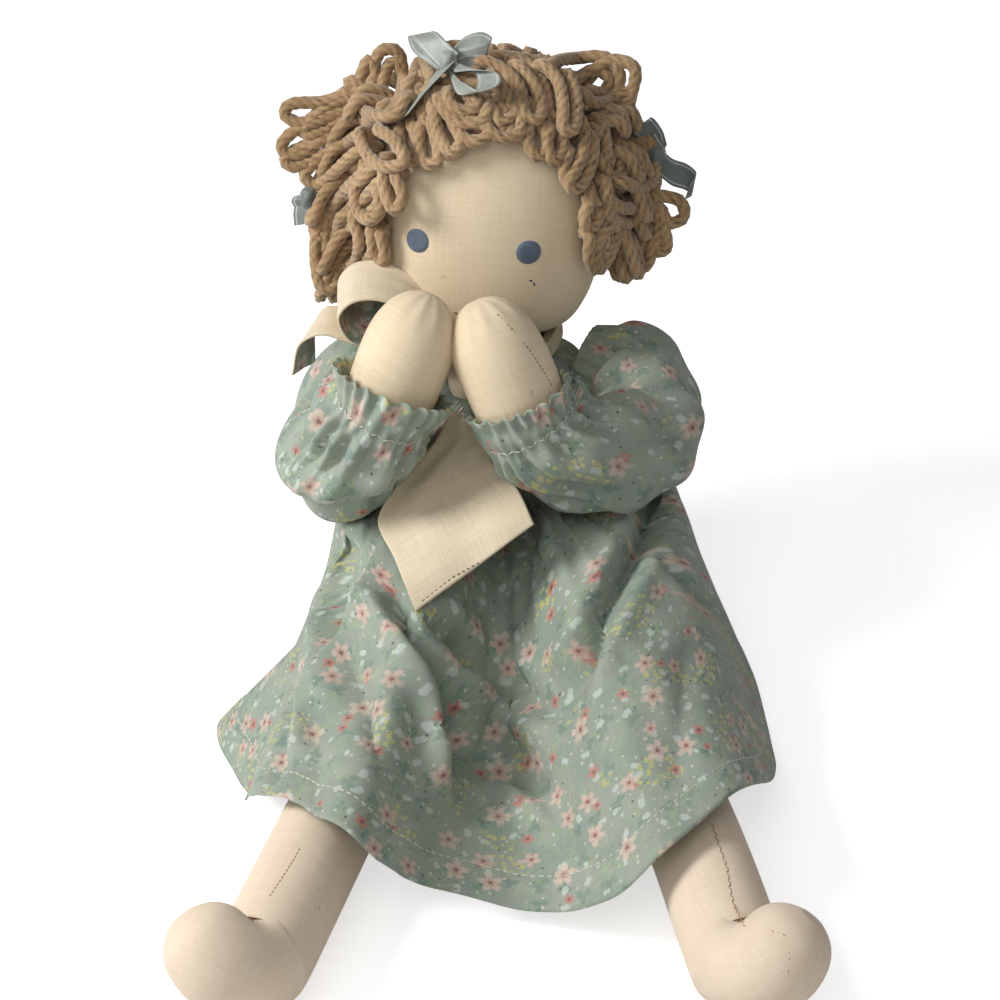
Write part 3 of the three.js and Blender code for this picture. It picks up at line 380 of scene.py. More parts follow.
def rgb(hex_colour):
    """A colour as it is seen, given as the linear values that a shader takes."""
    parts = [((hex_colour >> shift) & 255) / 255 for shift in (16, 8, 0)]
    return tuple(p / 12.92 if p <= 0.04045 else ((p + 0.055) / 1.055) ** 2.4 for p in parts) + (1.0,)


def node_group(name, inputs, outputs):
    """An empty shader group with named sockets, and its two end nodes."""
    group = bpy.data.node_groups.new(name, "ShaderNodeTree")
    for label, kind, value in inputs:
        socket = group.interface.new_socket(name=label, in_out="INPUT", socket_type=kind)
        if value is not None:
            socket.default_value = value
    for label, kind in outputs:
        group.interface.new_socket(name=label, in_out="OUTPUT", socket_type=kind)
    return group, group.nodes.new("NodeGroupInput"), group.nodes.new("NodeGroupOutput")


def placed_group(tree, group, inputs):
    return node(tree, "ShaderNodeGroup", inputs, node_tree=group)


def woven_threads():
    """Plain weave with slubs: the height of the threads, and how light each stretch of them is."""
    group, given, out = node_group(
        "woven threads",
        [
            ("Vector", "NodeSocketVector", None),
            ("Thread pitch", "NodeSocketFloat", 0.0006),
            ("Slubs", "NodeSocketFloat", 0.5),
        ],
        [("Height", "NodeSocketFloat"), ("Shade", "NodeSocketFloat")],
    )
    g = group
    vector = given.outputs["Vector"]
    wobble = node(g, "ShaderNodeTexNoise", {"Vector": vector, "Scale": 140.0, "Detail": 2.0})
    moved = vectors(g, "ADD", vector, scaled(g, wobble.outputs["Color"], 0.0012))
    split = node(g, "ShaderNodeSeparateXYZ", {0: moved})
    waves = []
    for axis in ("X", "Y"):
        turns = maths(g, "DIVIDE", split.outputs[axis], given.outputs["Thread pitch"])
        angle = maths(g, "MULTIPLY", turns, math.pi)
        waves.append([maths(g, "ABSOLUTE", maths(g, wave, angle)) for wave in ("SINE", "COSINE")])
    over = maths(g, "MULTIPLY", waves[0][0], waves[1][1])
    under = maths(g, "MULTIPLY", waves[0][1], waves[1][0])
    height = maths(g, "MAXIMUM", over, under)
    streaks = []
    for stretch in ((60.0, 1400.0, 60.0), (1400.0, 60.0, 1400.0)):
        lengthened = vectors(g, "MULTIPLY", moved, stretch)
        streaks.append(noise(g, lengthened, 1.0, 1.0))
    slub = maths(g, "MULTIPLY", maths(g, "ADD", streaks[0], streaks[1]), 0.5)
    raised = maths(g, "ADD", height, maths(g, "MULTIPLY", slub, given.outputs["Slubs"]))
    g.links.new(raised, out.inputs["Height"])
    # Shade: the slubs' own tone, plus painted shade where the threads lie low, in the hollows between them.
    shade = maths(g, "MULTIPLY", ramp(g, slub, 0.3, 0.7), 0.6)
    g.links.new(maths(g, "ADD", shade, maths(g, "MULTIPLY", height, 0.4)), out.inputs["Shade"])
    return group


def handling_marks():
    """Soft uneven greying, as cloth gets from years of hands, with a few small spots."""
    group, given, out = node_group(
        "handling marks",
        [("Vector", "NodeSocketVector", None), ("Patch size", "NodeSocketFloat", 0.03)],
        [("Greying", "NodeSocketFloat"), ("Spots", "NodeSocketFloat")],
    )
    scale = maths(group, "DIVIDE", 1.0, given.outputs["Patch size"])
    cloud = noise(group, given.outputs["Vector"], scale, 4.0)
    group.links.new(ramp(group, cloud, 0.35, 0.7), out.inputs["Greying"])
    cells = node(group, "ShaderNodeTexVoronoi", {"Vector": given.outputs["Vector"], "Scale": 260.0})
    rare = noise(group, given.outputs["Vector"], 55.0)
    dot = ramp(group, cells.outputs["Distance"], 0.06, 0.16, 1.0, 0.0)
    group.links.new(maths(group, "MULTIPLY", dot, ramp(group, rare, 0.6, 0.66)), out.inputs["Spots"])
    return group


def blossom_layer(g, vector, spacing, chance, radius, petals, depth, seed):
    """One layer of scattered flowers: where their petals are, how far from the middle, and a
    number for each flower."""
    shifted = vectors(g, "ADD", vector, (seed * 0.37, seed * 0.21, 0.0))
    placed = scaled(g, shifted, 1 / spacing)
    inputs = {"Vector": placed, "Scale": 1.0, "Randomness": 0.75}
    cells = node(g, "ShaderNodeTexVoronoi", inputs, voronoi_dimensions="2D")
    local = vectors(g, "SUBTRACT", placed, cells.outputs["Position"])
    parts = node(g, "ShaderNodeSeparateXYZ", {0: local})
    pick = node(g, "ShaderNodeSeparateColor", {0: cells.outputs["Color"]})
    angle = maths(g, "ARCTAN2", parts.outputs["Y"], parts.outputs["X"])
    spin = maths(g, "MULTIPLY", pick.outputs[1], 6.28)
    spun = maths(g, "ADD", maths(g, "MULTIPLY", angle, float(petals)), spin)
    lobe = maths(g, "ABSOLUTE", maths(g, "COSINE", maths(g, "MULTIPLY", spun, 0.5)))
    rough = noise(g, shifted, 700.0, 1.0)
    reach = maths(g, "ADD", 1.0 - depth, maths(g, "MULTIPLY", lobe, depth))
    reach = maths(g, "MULTIPLY", reach, maths(g, "ADD", 0.5, rough))
    varied = maths(g, "ADD", 0.7, maths(g, "MULTIPLY", pick.outputs[2], 0.5))
    size = maths(g, "MULTIPLY", varied, radius / spacing)
    out_share = maths(g, "DIVIDE", vectors(g, "LENGTH", local), maths(g, "MULTIPLY", size, reach))
    chosen = maths(g, "LESS_THAN", pick.outputs[0], chance)
    mask = maths(g, "MULTIPLY", ramp(g, out_share, 0.7, 1.15, 1.0, 0.0), chosen)
    return mask, out_share, pick.outputs[2], lobe, chosen


def meadow_print():
    """A small flower print: pink, red, yellow and white flowers over pale grass on one ground."""
    group, given, out = node_group(
        "meadow print",
        [("Vector", "NodeSocketVector", None), ("Ground", "NodeSocketColor", (0.2, 0.25, 0.2, 1))],
        [("Color", "NodeSocketColor")],
    )
    g = group
    vector = given.outputs["Vector"]
    wash = noise(g, vector, 45.0, 3.0)
    colour = blend_colours(g, ramp(g, wash, 0.35, 0.65), given.outputs["Ground"], rgb(0x8D998E))
    # Teal leaf shadows, then pale grass that leans two ways
    leaves, *_ = blossom_layer(g, vector, 0.011, 0.5, 0.0042, 3, 0.75, 3)
    colour = blend_colours(g, maths(g, "MULTIPLY", leaves, 0.55), colour, rgb(0x5F7F73))
    for lean, seed, tint in ((0.5, 1.0, 0x9BAE7E), (-0.7, 2.0, 0xA9B98F), (1.2, 5.0, 0x8BA58B)):
        inputs = {"Vector": vector, "Rotation": (0, 0, lean), "Location": (seed, 0, 0)}
        placed = node(g, "ShaderNodeMapping", inputs)
        bent = node(g, "ShaderNodeTexNoise", {"Vector": vector, "Scale": 110.0, "Detail": 1.0})
        curl = scaled(g, bent.outputs["Color"], 0.006)
        thin = vectors(g, "MULTIPLY", vectors(g, "ADD", placed.outputs[0], curl), (900.0, 130.0, 1.0))
        inputs = {"Vector": thin, "Scale": 1.0, "Detail": 0.0}
        strokes = node(g, "ShaderNodeTexNoise", inputs, noise_dimensions="2D").outputs["Fac"]
        clump = noise(g, placed.outputs[0], 75.0, 1.0)
        grass = maths(g, "MULTIPLY", ramp(g, strokes, 0.56, 0.62), ramp(g, clump, 0.48, 0.6))
        colour = blend_colours(g, maths(g, "MULTIPLY", grass, 0.42), colour, rgb(tint))
    # White bells and specks
    bells, *_ = blossom_layer(g, vector, 0.0105, 0.5, 0.0023, 2, 0.45, 7)
    colour = blend_colours(g, maths(g, "MULTIPLY", bells, 0.8), colour, rgb(0xC3CDC4))
    specks, *_ = blossom_layer(g, vector, 0.0052, 0.35, 0.0008, 3, 0.3, 11)
    colour = blend_colours(g, maths(g, "MULTIPLY", specks, 0.75), colour, rgb(0xCBD0C0))
    # Yellow clusters
    where = noise(g, vector, 42.0, 0.0)
    yellow, *_ = blossom_layer(g, vector, 0.0034, 0.8, 0.0014, 4, 0.5, 13)
    yellow = maths(g, "MULTIPLY", yellow, ramp(g, where, 0.63, 0.67))
    colour = blend_colours(g, maths(g, "MULTIPLY", yellow, 0.9), colour, rgb(0xC2BE7C))
    # Small red flowers and dark seeds
    red, red_out, *_ = blossom_layer(g, vector, 0.019, 0.32, 0.0031, 5, 0.5, 17)
    petal = blend_colours(g, ramp(g, red_out, 0.1, 0.6), rgb(0x7A2F34), rgb(0xC77A70))
    colour = blend_colours(g, maths(g, "MULTIPLY", red, 0.78), colour, petal)
    seeds, *_ = blossom_layer(g, vector, 0.008, 0.28, 0.00055, 2, 0.2, 19)
    colour = blend_colours(g, maths(g, "MULTIPLY", seeds, 0.9), colour, rgb(0x5A3A3C))
    # Large pink and peach flowers with a red eye and darker veins
    pink, pink_out, tint, lobe, chosen = blossom_layer(g, vector, 0.0165, 0.46, 0.0054, 5, 0.5, 23)
    petal = blend_colours(g, tint, rgb(0xD5B2A6), rgb(0xD9C6B4))
    petal = blend_colours(g, ramp(g, lobe, 0.2, 0.9, 0.3, 0.0), petal, rgb(0xB58A82))
    petal = blend_colours(g, ramp(g, pink_out, 0.25, 0.55, 0.6, 0.0), petal, rgb(0xB9766C))
    eye = maths(g, "MULTIPLY", ramp(g, pink_out, 0.12, 0.24, 1.0, 0.0), chosen)
    petal = blend_colours(g, eye, petal, rgb(0x7B3238))
    colour = blend_colours(g, maths(g, "MULTIPLY", pink, 0.78), colour, petal)
    g.links.new(colour, out.inputs["Color"])
    return group


threads_group = woven_threads()
marks_group = handling_marks()
print_group = meadow_print()


def new_material(name):
    material = bpy.data.materials.new(name)
    material.use_nodes = True
    tree = material.node_tree
    shader = tree.nodes["Principled BSDF"]
    return material, tree, shader


def surface_vector(tree, uses_map):
    kind = "UV" if uses_map else "Object"
    return node(tree, "ShaderNodeTexCoord").outputs[kind]


def bump(tree, shader, height, strength, distance):
    made = node(tree, "ShaderNodeBump", {"Strength": strength, "Distance": distance, "Height": height})
    tree.links.new(made.outputs[0], shader.inputs["Normal"])


def plain_cloth(name, light, dark, pitch, relief, greying=0.35, uses_map=True, sheen=0.15):
    """Undyed cloth, its threads showing, greyed a little unevenly."""
    material, tree, shader = new_material(name)
    vector = surface_vector(tree, uses_map)
    threads = placed_group(tree, threads_group, {"Vector": vector, "Thread pitch": pitch, "Slubs": 0.9})
    marks = placed_group(tree, marks_group, {"Vector": vector, "Patch size": 0.03})
    # The threads' Shade sets the colour: slub tone, with painted shade between the threads.
    colour = blend_colours(tree, threads.outputs["Shade"], rgb(dark), rgb(light))
    worn = blend_colours(tree, maths(tree, "MULTIPLY", marks.outputs["Greying"], greying), colour, rgb(dark))
    spotted = blend_colours(tree, maths(tree, "MULTIPLY", marks.outputs["Spots"], 0.5), worn, rgb(0x9C8468))
    tree.links.new(spotted, shader.inputs["Base Color"])
    tree.links.new(ramp(tree, threads.outputs["Height"], 0.2, 1.2, 0.95, 0.82), shader.inputs["Roughness"])
    shader.inputs["Sheen Weight"].default_value = sheen
    bump(tree, shader, threads.outputs["Height"], relief, 0.25 * mm)
    return material


def printed_cloth(name, ground, uses_map=True):
    """Flower print on fine cotton, a little faded, darker at slubs, with painted shade between threads."""
    material, tree, shader = new_material(name)
    vector = surface_vector(tree, uses_map)
    threads = placed_group(tree, threads_group, {"Vector": vector, "Thread pitch": 0.45 * mm, "Slubs": 0.5})
    marks = placed_group(tree, marks_group, {"Vector": vector, "Patch size": 0.05})
    flowers = placed_group(tree, print_group, {"Vector": vector, "Ground": rgb(ground)})
    greyed = maths(tree, "MULTIPLY", marks.outputs["Greying"], 0.14)
    faded = blend_colours(tree, greyed, flowers.outputs["Color"], rgb(0xA9A898))
    # Darker where the threads' Shade is low: slub tone, and painted shade between the threads.
    shaded = ramp(tree, threads.outputs["Shade"], 0.0, 1.0, 0.16, 0.0)
    thread_shaded_print = blend_colours(tree, shaded, faded, rgb(0x4E5A55))
    tree.links.new(thread_shaded_print, shader.inputs["Base Color"])
    tree.links.new(ramp(tree, threads.outputs["Height"], 0.2, 1.2, 0.92, 0.78), shader.inputs["Roughness"])
    shader.inputs["Sheen Weight"].default_value = 0.1
    crinkle = maths(tree, "MULTIPLY", noise(tree, vector, 120.0, 3.0), 1.6)
    raised = maths(tree, "ADD", maths(tree, "MULTIPLY", threads.outputs["Height"], 0.25), crinkle)
    bump(tree, shader, raised, 0.4, 0.5 * mm)
    return material


def wool(name, light, dark):
    """Thick wool: each ply its own shade, fine fibres that run round with the twist."""
    material, tree, shader = new_material(name)
    vector = surface_vector(tree, True)
    parts = node(tree, "ShaderNodeSeparateXYZ", {0: vector})
    slanted = maths(tree, "ADD", parts.outputs["X"], maths(tree, "MULTIPLY", parts.outputs["Y"], 0.9))
    stretched = {
        0: maths(tree, "MULTIPLY", slanted, 2600.0),
        1: maths(tree, "MULTIPLY", parts.outputs["Y"], 260.0),
    }
    fibres = noise(tree, node(tree, "ShaderNodeCombineXYZ", stretched).outputs[0], 1.0)
    cloud = noise(tree, surface_vector(tree, False), 60.0)
    # How deep each point lies between the plies, which darkens it there as painted shade.
    depth = node(tree, "ShaderNodeAttribute", attribute_name="ply_groove_shade").outputs["Fac"]
    halves = [maths(tree, "MULTIPLY", ramp(tree, each, 0.3, 0.7), 0.5) for each in (fibres, cloud)]
    shade = maths(tree, "ADD", *halves)
    colour = blend_colours(tree, shade, rgb(dark), rgb(light))
    # Painted shade, darkest deep in the grooves between the plies.
    groove_shaded_colour = blend_colours(tree, maths(tree, "MULTIPLY", depth, 0.9), colour, rgb(0x3C2814))
    tree.links.new(groove_shaded_colour, shader.inputs["Base Color"])
    tree.links.new(ramp(tree, fibres, 0.2, 0.8, 0.98, 0.85), shader.inputs["Roughness"])
    shader.inputs["Sheen Weight"].default_value = 0.35
    shader.inputs["Sheen Roughness"].default_value = 0.5
    bump(tree, shader, fibres, 0.6, 0.4 * mm)
    return material


def satin(name, light, dark):
    """Ribbon with fine cross ribs and a paler woven edge on each side."""
    material, tree, shader = new_material(name)
    vector = surface_vector(tree, True)
    parts = node(tree, "ShaderNodeSeparateXYZ", {0: vector})
    ribs = maths(tree, "SINE", maths(tree, "MULTIPLY", parts.outputs["Y"], 2 * math.pi / (0.45 * mm)))
    off_middle = maths(tree, "ABSOLUTE", maths(tree, "SUBTRACT", parts.outputs["X"], ribbon_width / 2))
    edge = ramp(tree, off_middle, ribbon_width * 0.34, ribbon_width * 0.37)
    before_rim = ramp(tree, off_middle, ribbon_width * 0.38, ribbon_width * 0.42, 1.0, 0.0)
    groove = maths(tree, "MULTIPLY", edge, before_rim)
    cloud = noise(tree, vector, 90.0, 3.0)
    colour = blend_colours(tree, ramp(tree, cloud, 0.3, 0.7), rgb(dark), rgb(light))
    edged = blend_colours(tree, maths(tree, "MULTIPLY", groove, 0.75), colour, rgb(0xC4CBC4))
    tree.links.new(edged, shader.inputs["Base Color"])
    tree.links.new(ramp(tree, cloud, 0.3, 0.7, 0.5, 0.36), shader.inputs["Roughness"])
    shader.inputs["Sheen Weight"].default_value = 0.3
    shader.inputs["Specular IOR Level"].default_value = 0.6
    bump(tree, shader, maths(tree, "ADD", maths(tree, "MULTIPLY", ribs, 0.3), groove), 0.35, 0.2 * mm)
    return material


def stitched_thread(name, light, dark, gloss=0.5):
    """Embroidery or sewing thread, finely twisted."""
    material, tree, shader = new_material(name)
    vector = surface_vector(tree, False)
    twist = noise(tree, vector, 2500.0)
    colour = blend_colours(tree, ramp(tree, twist, 0.35, 0.65), rgb(dark), rgb(light))
    tree.links.new(colour, shader.inputs["Base Color"])
    tree.links.new(ramp(tree, twist, 0.3, 0.7, gloss + 0.15, gloss), shader.inputs["Roughness"])
    shader.inputs["Sheen Weight"].default_value = 0.2
    bump(tree, shader, twist, 0.4, 0.1 * mm)
    return material


cotton = plain_cloth("cream cotton", 0xE6D5B8, 0xD8C4A2, 0.62 * mm, 0.3)
leg_cotton = plain_cloth("cream cotton, legs", 0xEBDAC4, 0xDDC8AE, 0.62 * mm, 0.3, 0.45)
linen = plain_cloth("cream linen", 0xE6D8BE, 0xD2C1A2, 0.75 * mm, 0.5)
dress_print = printed_cloth("flower print", 0x9DA498)
lining_print = printed_cloth("flower print, lining", 0x9C8F88)
hair_wool = wool("tan wool", 0xC8A881, 0x98784F)
pale_satin = satin("sage satin", 0xA0A49C, 0x82887F)
dark_satin = satin("dark sage satin", 0x6C756F, 0x565F5A)
blue_thread = stitched_thread("slate blue thread", 0x6A7688, 0x485365)
navy_thread = stitched_thread("navy thread", 0x3C4660, 0x2A3148)
white_thread = stitched_thread("white thread", 0xD9D7CA, 0xC2BEAE)
brown_thread = stitched_thread("brown thread", 0x8A6A50, 0x6E5440)
cream_thread = stitched_thread("cream thread, darkened", 0xB3967A, 0x9A7E62)


# The photograph's camera
def set_camera():
    data = bpy.data.cameras.new("Camera")
    data.lens = 90
    data.sensor_width = 36
    camera = bpy.data.objects.new("Camera", data)
    camera.location = (0, -0.93805, 0.63392)
    camera.rotation_euler = (math.radians(58), 0, 0)
    bpy.context.scene.collection.objects.link(camera)
    bpy.context.scene.camera = camera
    return camera


camera = set_camera()
camera_place = np.array(camera.location)
photo_width = 1000
photo_focus = 2500


def photo_ray(x, y):
    """The way from the camera through one place in the photograph."""
    turn = np.array(Euler(camera.rotation_euler).to_matrix())
    across, up = (x - photo_width / 2) / photo_focus, (photo_width / 2 - y) / photo_focus
    return unit(turn @ np.array([across, up, -1.0]))


def on_photo(tree, pixels):
    """Where places in the photograph fall on a piece, and the way out of it there."""
    spots = []
    for x, y in pixels:
        ray = photo_ray(x, y)
        place, normal, *_ = tree.ray_cast(Vector(camera_place), Vector(ray))
        if place is not None:
            facing = np.array(normal)
            spots.append((np.array(place), facing if facing @ ray < 0 else -facing))
    return np.array([s[0] for s in spots]), np.array([s[1] for s in spots])


# Torso
torso_shares = np.array([
    [0, 0.4, 0.4], [0.05, 0.47, 0.47], [0.16, 0.5, 0.5], [0.34, 0.5, 0.5], [0.52, 0.47, 0.455],
    [0.7, 0.465, 0.42], [0.84, 0.445, 0.375], [0.93, 0.35, 0.31], [1, 0.158, 0.1954],
])


def lean(z):
    return np.maximum(z, 0) * math.tan(math.radians(lean_angle))


def torso_size(z):
    share = np.clip(np.asarray(z) / torso_height, 0, 1)
    half_width = np.interp(share, torso_shares[:, 0], torso_shares[:, 1]) * torso_width
    half_depth = np.interp(share, torso_shares[:, 0], torso_shares[:, 2]) * torso_depth
    return half_width, half_depth


def around_oval(angle, half_width, half_depth, squareness):
    """The place on an oval in a direction, turned from straight ahead towards the left."""
    across = np.abs(np.sin(angle) / half_width) ** squareness
    along = np.abs(np.cos(angle) / half_depth) ** squareness
    reach = (across + along) ** (-1 / squareness)
    return np.stack([np.sin(angle) * reach, -np.cos(angle) * reach, 0 * reach], axis=-1)


def around_torso(angle, z, grow):
    half_width, half_depth = torso_size(z)
    z = np.broadcast_to(z, np.shape(angle))
    middle = np.stack([0 * z, lean(z), z], axis=-1)
    return around_oval(angle, half_width + grow, half_depth + grow, torso_squareness) + middle


def stuffed_torso():
    shut = np.concatenate([[[0, 0.01, 0.01]], torso_shares, [[1.0, 0.02, 0.02]]])

    def place(u, v):
        share, wide, deep = np.moveaxis(even_spline(shut, v), -1, 0)
        half_width, half_depth = wide * torso_width - 0.4 * mm, deep * torso_depth - 0.4 * mm
        ring = around_oval(u * 2 * np.pi, half_width, half_depth, torso_squareness)
        z = np.clip(share, 0.004, 1) * torso_height
        return ring + np.stack([0 * z, lean(z), z], axis=-1)

    piece = patch("torso", 56, 34, place, (0.27, 0.15), closed=True)
    swell(piece, 3.0, 1.0 * mm, held=coordinates(piece)[:, 2] < 3 * mm)
    co = coordinates(piece)
    co[:, 2] = np.maximum(co[:, 2], 0.2 * mm)
    put_coordinates(piece, co)
    apply_modifier(piece, "SUBSURF", levels=1, render_levels=1)
    finish(piece, cotton, "torso", ["torso_cover", "torso_stuffing"])


stuffed_torso()

# The head's own upright frame, about its middle
neck_base = np.array([0, lean(torso_height), torso_height])
head_rise = 7.5 * mm + clearance + 0.49 * head_height
head_middle = neck_base + np.array([-head_aside, head_depth * 0.07, head_rise])
head_spin = np.array(Euler([math.radians(a) for a in head_turned], "XYZ").to_matrix())
head_shares = np.array([
    [-0.49, 0.15, 0.18], [-0.47, 0.27, 0.3], [-0.41, 0.4, 0.41], [-0.26, 0.48, 0.475], [-0.04, 0.5, 0.5],
    [0.18, 0.485, 0.49], [0.34, 0.405, 0.42], [0.44, 0.27, 0.29], [0.485, 0.14, 0.15], [0.5, 0.01, 0.01],
])


def from_head(points):
    return np.asarray(points) @ head_spin.T + head_middle


def head_size(share):
    share = np.clip(share, head_shares[0, 0], head_shares[-1, 0])
    fine = spline(head_shares, np.linspace(0, 1, 200))
    half_width = np.interp(share, fine[:, 0], fine[:, 1]) * head_width
    return half_width, np.interp(share, fine[:, 0], fine[:, 2]) * head_depth


def stuffed_neck():
    rows = np.array([
        [-0.012, 0.001], [-0.009, 0.0105], [0, 0.0128], [0.0075, 0.0108], [0.029, 0.0108], [0.0295, 0.001],
    ])

    def place(u, v):
        height, radius = np.moveaxis(spline(rows, v), -1, 0)
        creased = radius * (1 + 0.03 * np.sin(u * 2 * np.pi * 9) * smooth(height, 0, 0.01))
        ring = around_oval(u * 2 * np.pi, creased, creased, 2)
        return turned(ring + height[:, None] * UP, SIDEWAYS, -lean_angle) + neck_base

    piece = patch("neck_cloth", 40, 26, place, (0.068, 0.05), closed=True)
    finish(piece, cotton, "neck", ["neck"])


stuffed_neck()


def stuffed_head():
    shut = np.concatenate([[[-0.492, 0.01, 0.01]], head_shares])

    def place(u, v):
        share, wide, deep = np.moveaxis(even_spline(shut, v), -1, 0)
        angle = u * 2 * np.pi
        # A seam runs down each side of the head, and draws the cloth in a little.
        seam = np.exp(-((np.cos(angle)) / 0.05) ** 2)
        drawn = 0.5 * mm * seam + 0.4 * mm
        ring = around_oval(angle, wide * head_width - drawn, deep * head_depth - 0.4 * mm, head_squareness)
        return from_head(ring + share[:, None] * head_height * UP)

    piece = patch("head", 76, 44, place, (0.3, 0.16), closed=True)
    local = (coordinates(piece) - head_middle) @ head_spin
    seam = (np.abs(local[:, 1]) < 1.6 * mm) & (local[:, 2] > -0.4 * head_height)
    low = local[:, 2] < -0.44 * head_height
    swell(piece, 2.5, 0.9 * mm, slack=0.01, held=seam | low)
    apply_modifier(piece, "SUBSURF", levels=1, render_levels=1)
    finish(piece, cotton, "head", ["head_cover", "head_stuffing"])
    return piece


head_piece = stuffed_head()


def tree_of(*pieces):
    """One search tree over several pieces."""
    points, faces = [], []
    for piece in pieces:
        start = len(points)
        points += [tuple(v.co) for v in piece.data.vertices]
        faces += [[start + n for n in face.vertices] for face in piece.data.polygons]
    return BVHTree.FromPolygons(points, faces)


def stitches(name, path, normals, pitch, length, radius, material, body, slant=0.0):
    """A row of stitches on a surface: one is modelled, and copied along the path."""
    run = run_along(path)
    count = max(int(run[-1] / pitch), 1)
    at = (np.arange(count) + 0.5) * run[-1] / count
    spots = read_off(at, run, path)
    outs = unit(read_off(at, run, normals))
    ahead = read_off(at + pitch / 2, run, path) - read_off(at - pitch / 2, run, path)
    bpy.ops.mesh.primitive_uv_sphere_add(segments=8, ring_count=6, radius=1)
    first = bpy.context.object
    shape = coordinates(first)
    copies = []
    for number, (spot, out, way) in enumerate(zip(spots, outs, ahead)):
        way = unit(way - out * (way @ out))
        side = np.cross(out, way)
        c, s = math.cos(slant * (-1) ** number), math.sin(slant * (-1) ** number)
        way, side = way * c + side * s, side * c - way * s
        copy = first.copy()
        copy.data = first.data.copy()
        bpy.context.scene.collection.objects.link(copy)
        # A stitch is a little flat, and lies more than half above the cloth.
        above = shape[:, 2:] * 0.7 + 0.3
        laid = spot + shape[:, :1] * way * length / 2 + shape[:, 1:2] * side * radius + above * out * radius
        put_coordinates(copy, laid)
        copies.append(copy)
    bpy.data.objects.remove(first)
    piece = joined(name, copies)
    choose(piece)
    bpy.ops.object.shade_smooth()
    return finish(piece, material, body)


def seam(name, piece, places, pitch, length, radius, material, body, slant=0.0):
    """A row of stitches on a piece, through places in the photograph."""
    path, normals = on_photo(tree_of(piece), places)
    return stitches(name, path, normals, pitch, length, radius, material, body, slant=slant)


# Face
def face_details():
    tree = tree_of(head_piece)
    eye_radius = 5.3 * mm
    for name, node_name in (("embroidered_eye_left", "eye_left"), ("embroidered_eye_right", "eye_right")):
        low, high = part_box(node_name)
        middle, out, *_ = tree.find_nearest((low + high) / 2)
        middle, out = np.array(middle), np.array(out)
        side = unit(np.cross(UP, out))
        upward = np.cross(out, side)

        def place(u, v):
            # Satin stitch: threads side by side, over a small padded dome
            x, y = (u * 2 - 1) * eye_radius, (v * 2 - 1) * eye_radius
            far = np.hypot(x, y)
            reach = eye_radius * (1 + 0.03 * np.sin(u * 60))
            square = np.maximum(np.abs(x), np.abs(y)) / np.maximum(far, 1e-9)
            squeeze = np.where(far > 0, square, 1) * reach / eye_radius
            x, y = x * squeeze, y * squeeze
            share = np.minimum(np.hypot(x, y) / eye_radius, 1)
            ridge = 0.26 * mm * np.abs(np.sin(x / (0.62 * mm) * np.pi))
            height = (0.9 * mm + ridge) * (1 - share**4) - 0.25 * mm
            return middle + x[:, None] * side + y[:, None] * upward + height[:, None] * out

        eye = patch(name, 64, 24, place, (2 * eye_radius, 2 * eye_radius))
        thicken(eye, 0.4 * mm)
        finish(eye, blue_thread, "head", [node_name])
    low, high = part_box("mouth_stitch")
    line = []
    for t in np.linspace(0, 1, 20):
        height = 0.35 - 0.35 * math.sin(math.pi * t)
        line.append((lerp(low.x, high.x, t), low.y, lerp(low.z, high.z, height)))
    found = [tree.find_nearest(Vector(p)) for p in line]
    path = np.array([f[0] for f in found])
    normals = np.array([f[1] for f in found])
    smile = stitches("mouth", path, normals, 2.6 * mm, 2.5 * mm, 0.55 * mm, brown_thread, "head")
    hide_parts("mouth_stitch")
    path, normals = on_photo(tree, ((529, 279), (536, 286)))
    stitches("cheek_stitch", path, normals, 2 * mm, 1.8 * mm, 0.4 * mm, navy_thread, "head", slant=0.5)


face_details()


# Hair of thick twisted wool, one long piece looped back and forth
def hair_point(angle, share, grow):
    half_width, half_depth = head_size(share)
    rise = smooth(share, 0.3, 0.5)
    z = share * head_height + grow * rise
    ring = around_oval(angle, half_width + grow, half_depth + grow, head_squareness)
    return ring + np.stack([0 * z, 0 * z, z], axis=-1)


plies = 4
yarn_sides = 16
yarn_pitch = 15 * mm
yarn_lengths = (30 * mm, 45 * mm, 65 * mm, 90 * mm)


def straight_yarn(length):
    """A straight length of four-ply wool, twisted, which each loop of hair is a copy of."""
    def place(u, v):
        angle = u * 2 * np.pi
        twist = v * length / yarn_pitch * 2 * np.pi
        lobe = np.abs(np.cos((angle + twist) * plies / 2))
        taper = np.sqrt(np.clip(np.minimum(v, 1 - v) * 40, 0, 1))
        radius = (0.66 + 0.38 * np.sqrt(lobe)) * taper
        return np.stack([v, np.cos(angle) * radius, np.sin(angle) * radius], axis=-1)

    flat = (2 * np.pi * yarn_radius, length)
    piece = patch("yarn", yarn_sides, round(length / (2 * mm)), place, flat, closed=True)
    co = coordinates(piece)
    # How deep each point lies in the grooves between the plies; the wool's colour darkens there as painted
    # shade.
    depth = np.clip((1.04 - np.hypot(co[:, 1], co[:, 2])) / 0.36, 0, 1)
    attribute = piece.data.attributes.new("ply_groove_shade", "FLOAT", "POINT")
    attribute.data.foreach_set("value", depth.astype(np.float32))
    return piece


yarns = {length: straight_yarn(length) for length in yarn_lengths}
yarn_shapes = {length: coordinates(yarn) for length, yarn in yarns.items()}


def yarn_along(path):
    """A copy of the straight yarn whose length is nearest, bent along a path."""
    at = np.linspace(0, 1, 60)
    fine = even_spline(path, at)
    _, side, other = frames_along(fine)
    whole = run_along(fine)[-1]
    length = min(yarn_lengths, key=lambda each: abs(each - whole))
    yarn, shape = yarns[length], yarn_shapes[length]
    middle, across, up = (read_off(shape[:, 0], at, values) for values in (fine, side, other))
    copy = yarn.copy()
    copy.data = yarn.data.copy()
    bpy.context.scene.collection.objects.link(copy)
    put_coordinates(copy, middle + yarn_radius * (shape[:, 1:2] * across + shape[:, 2:] * up))
    return copy


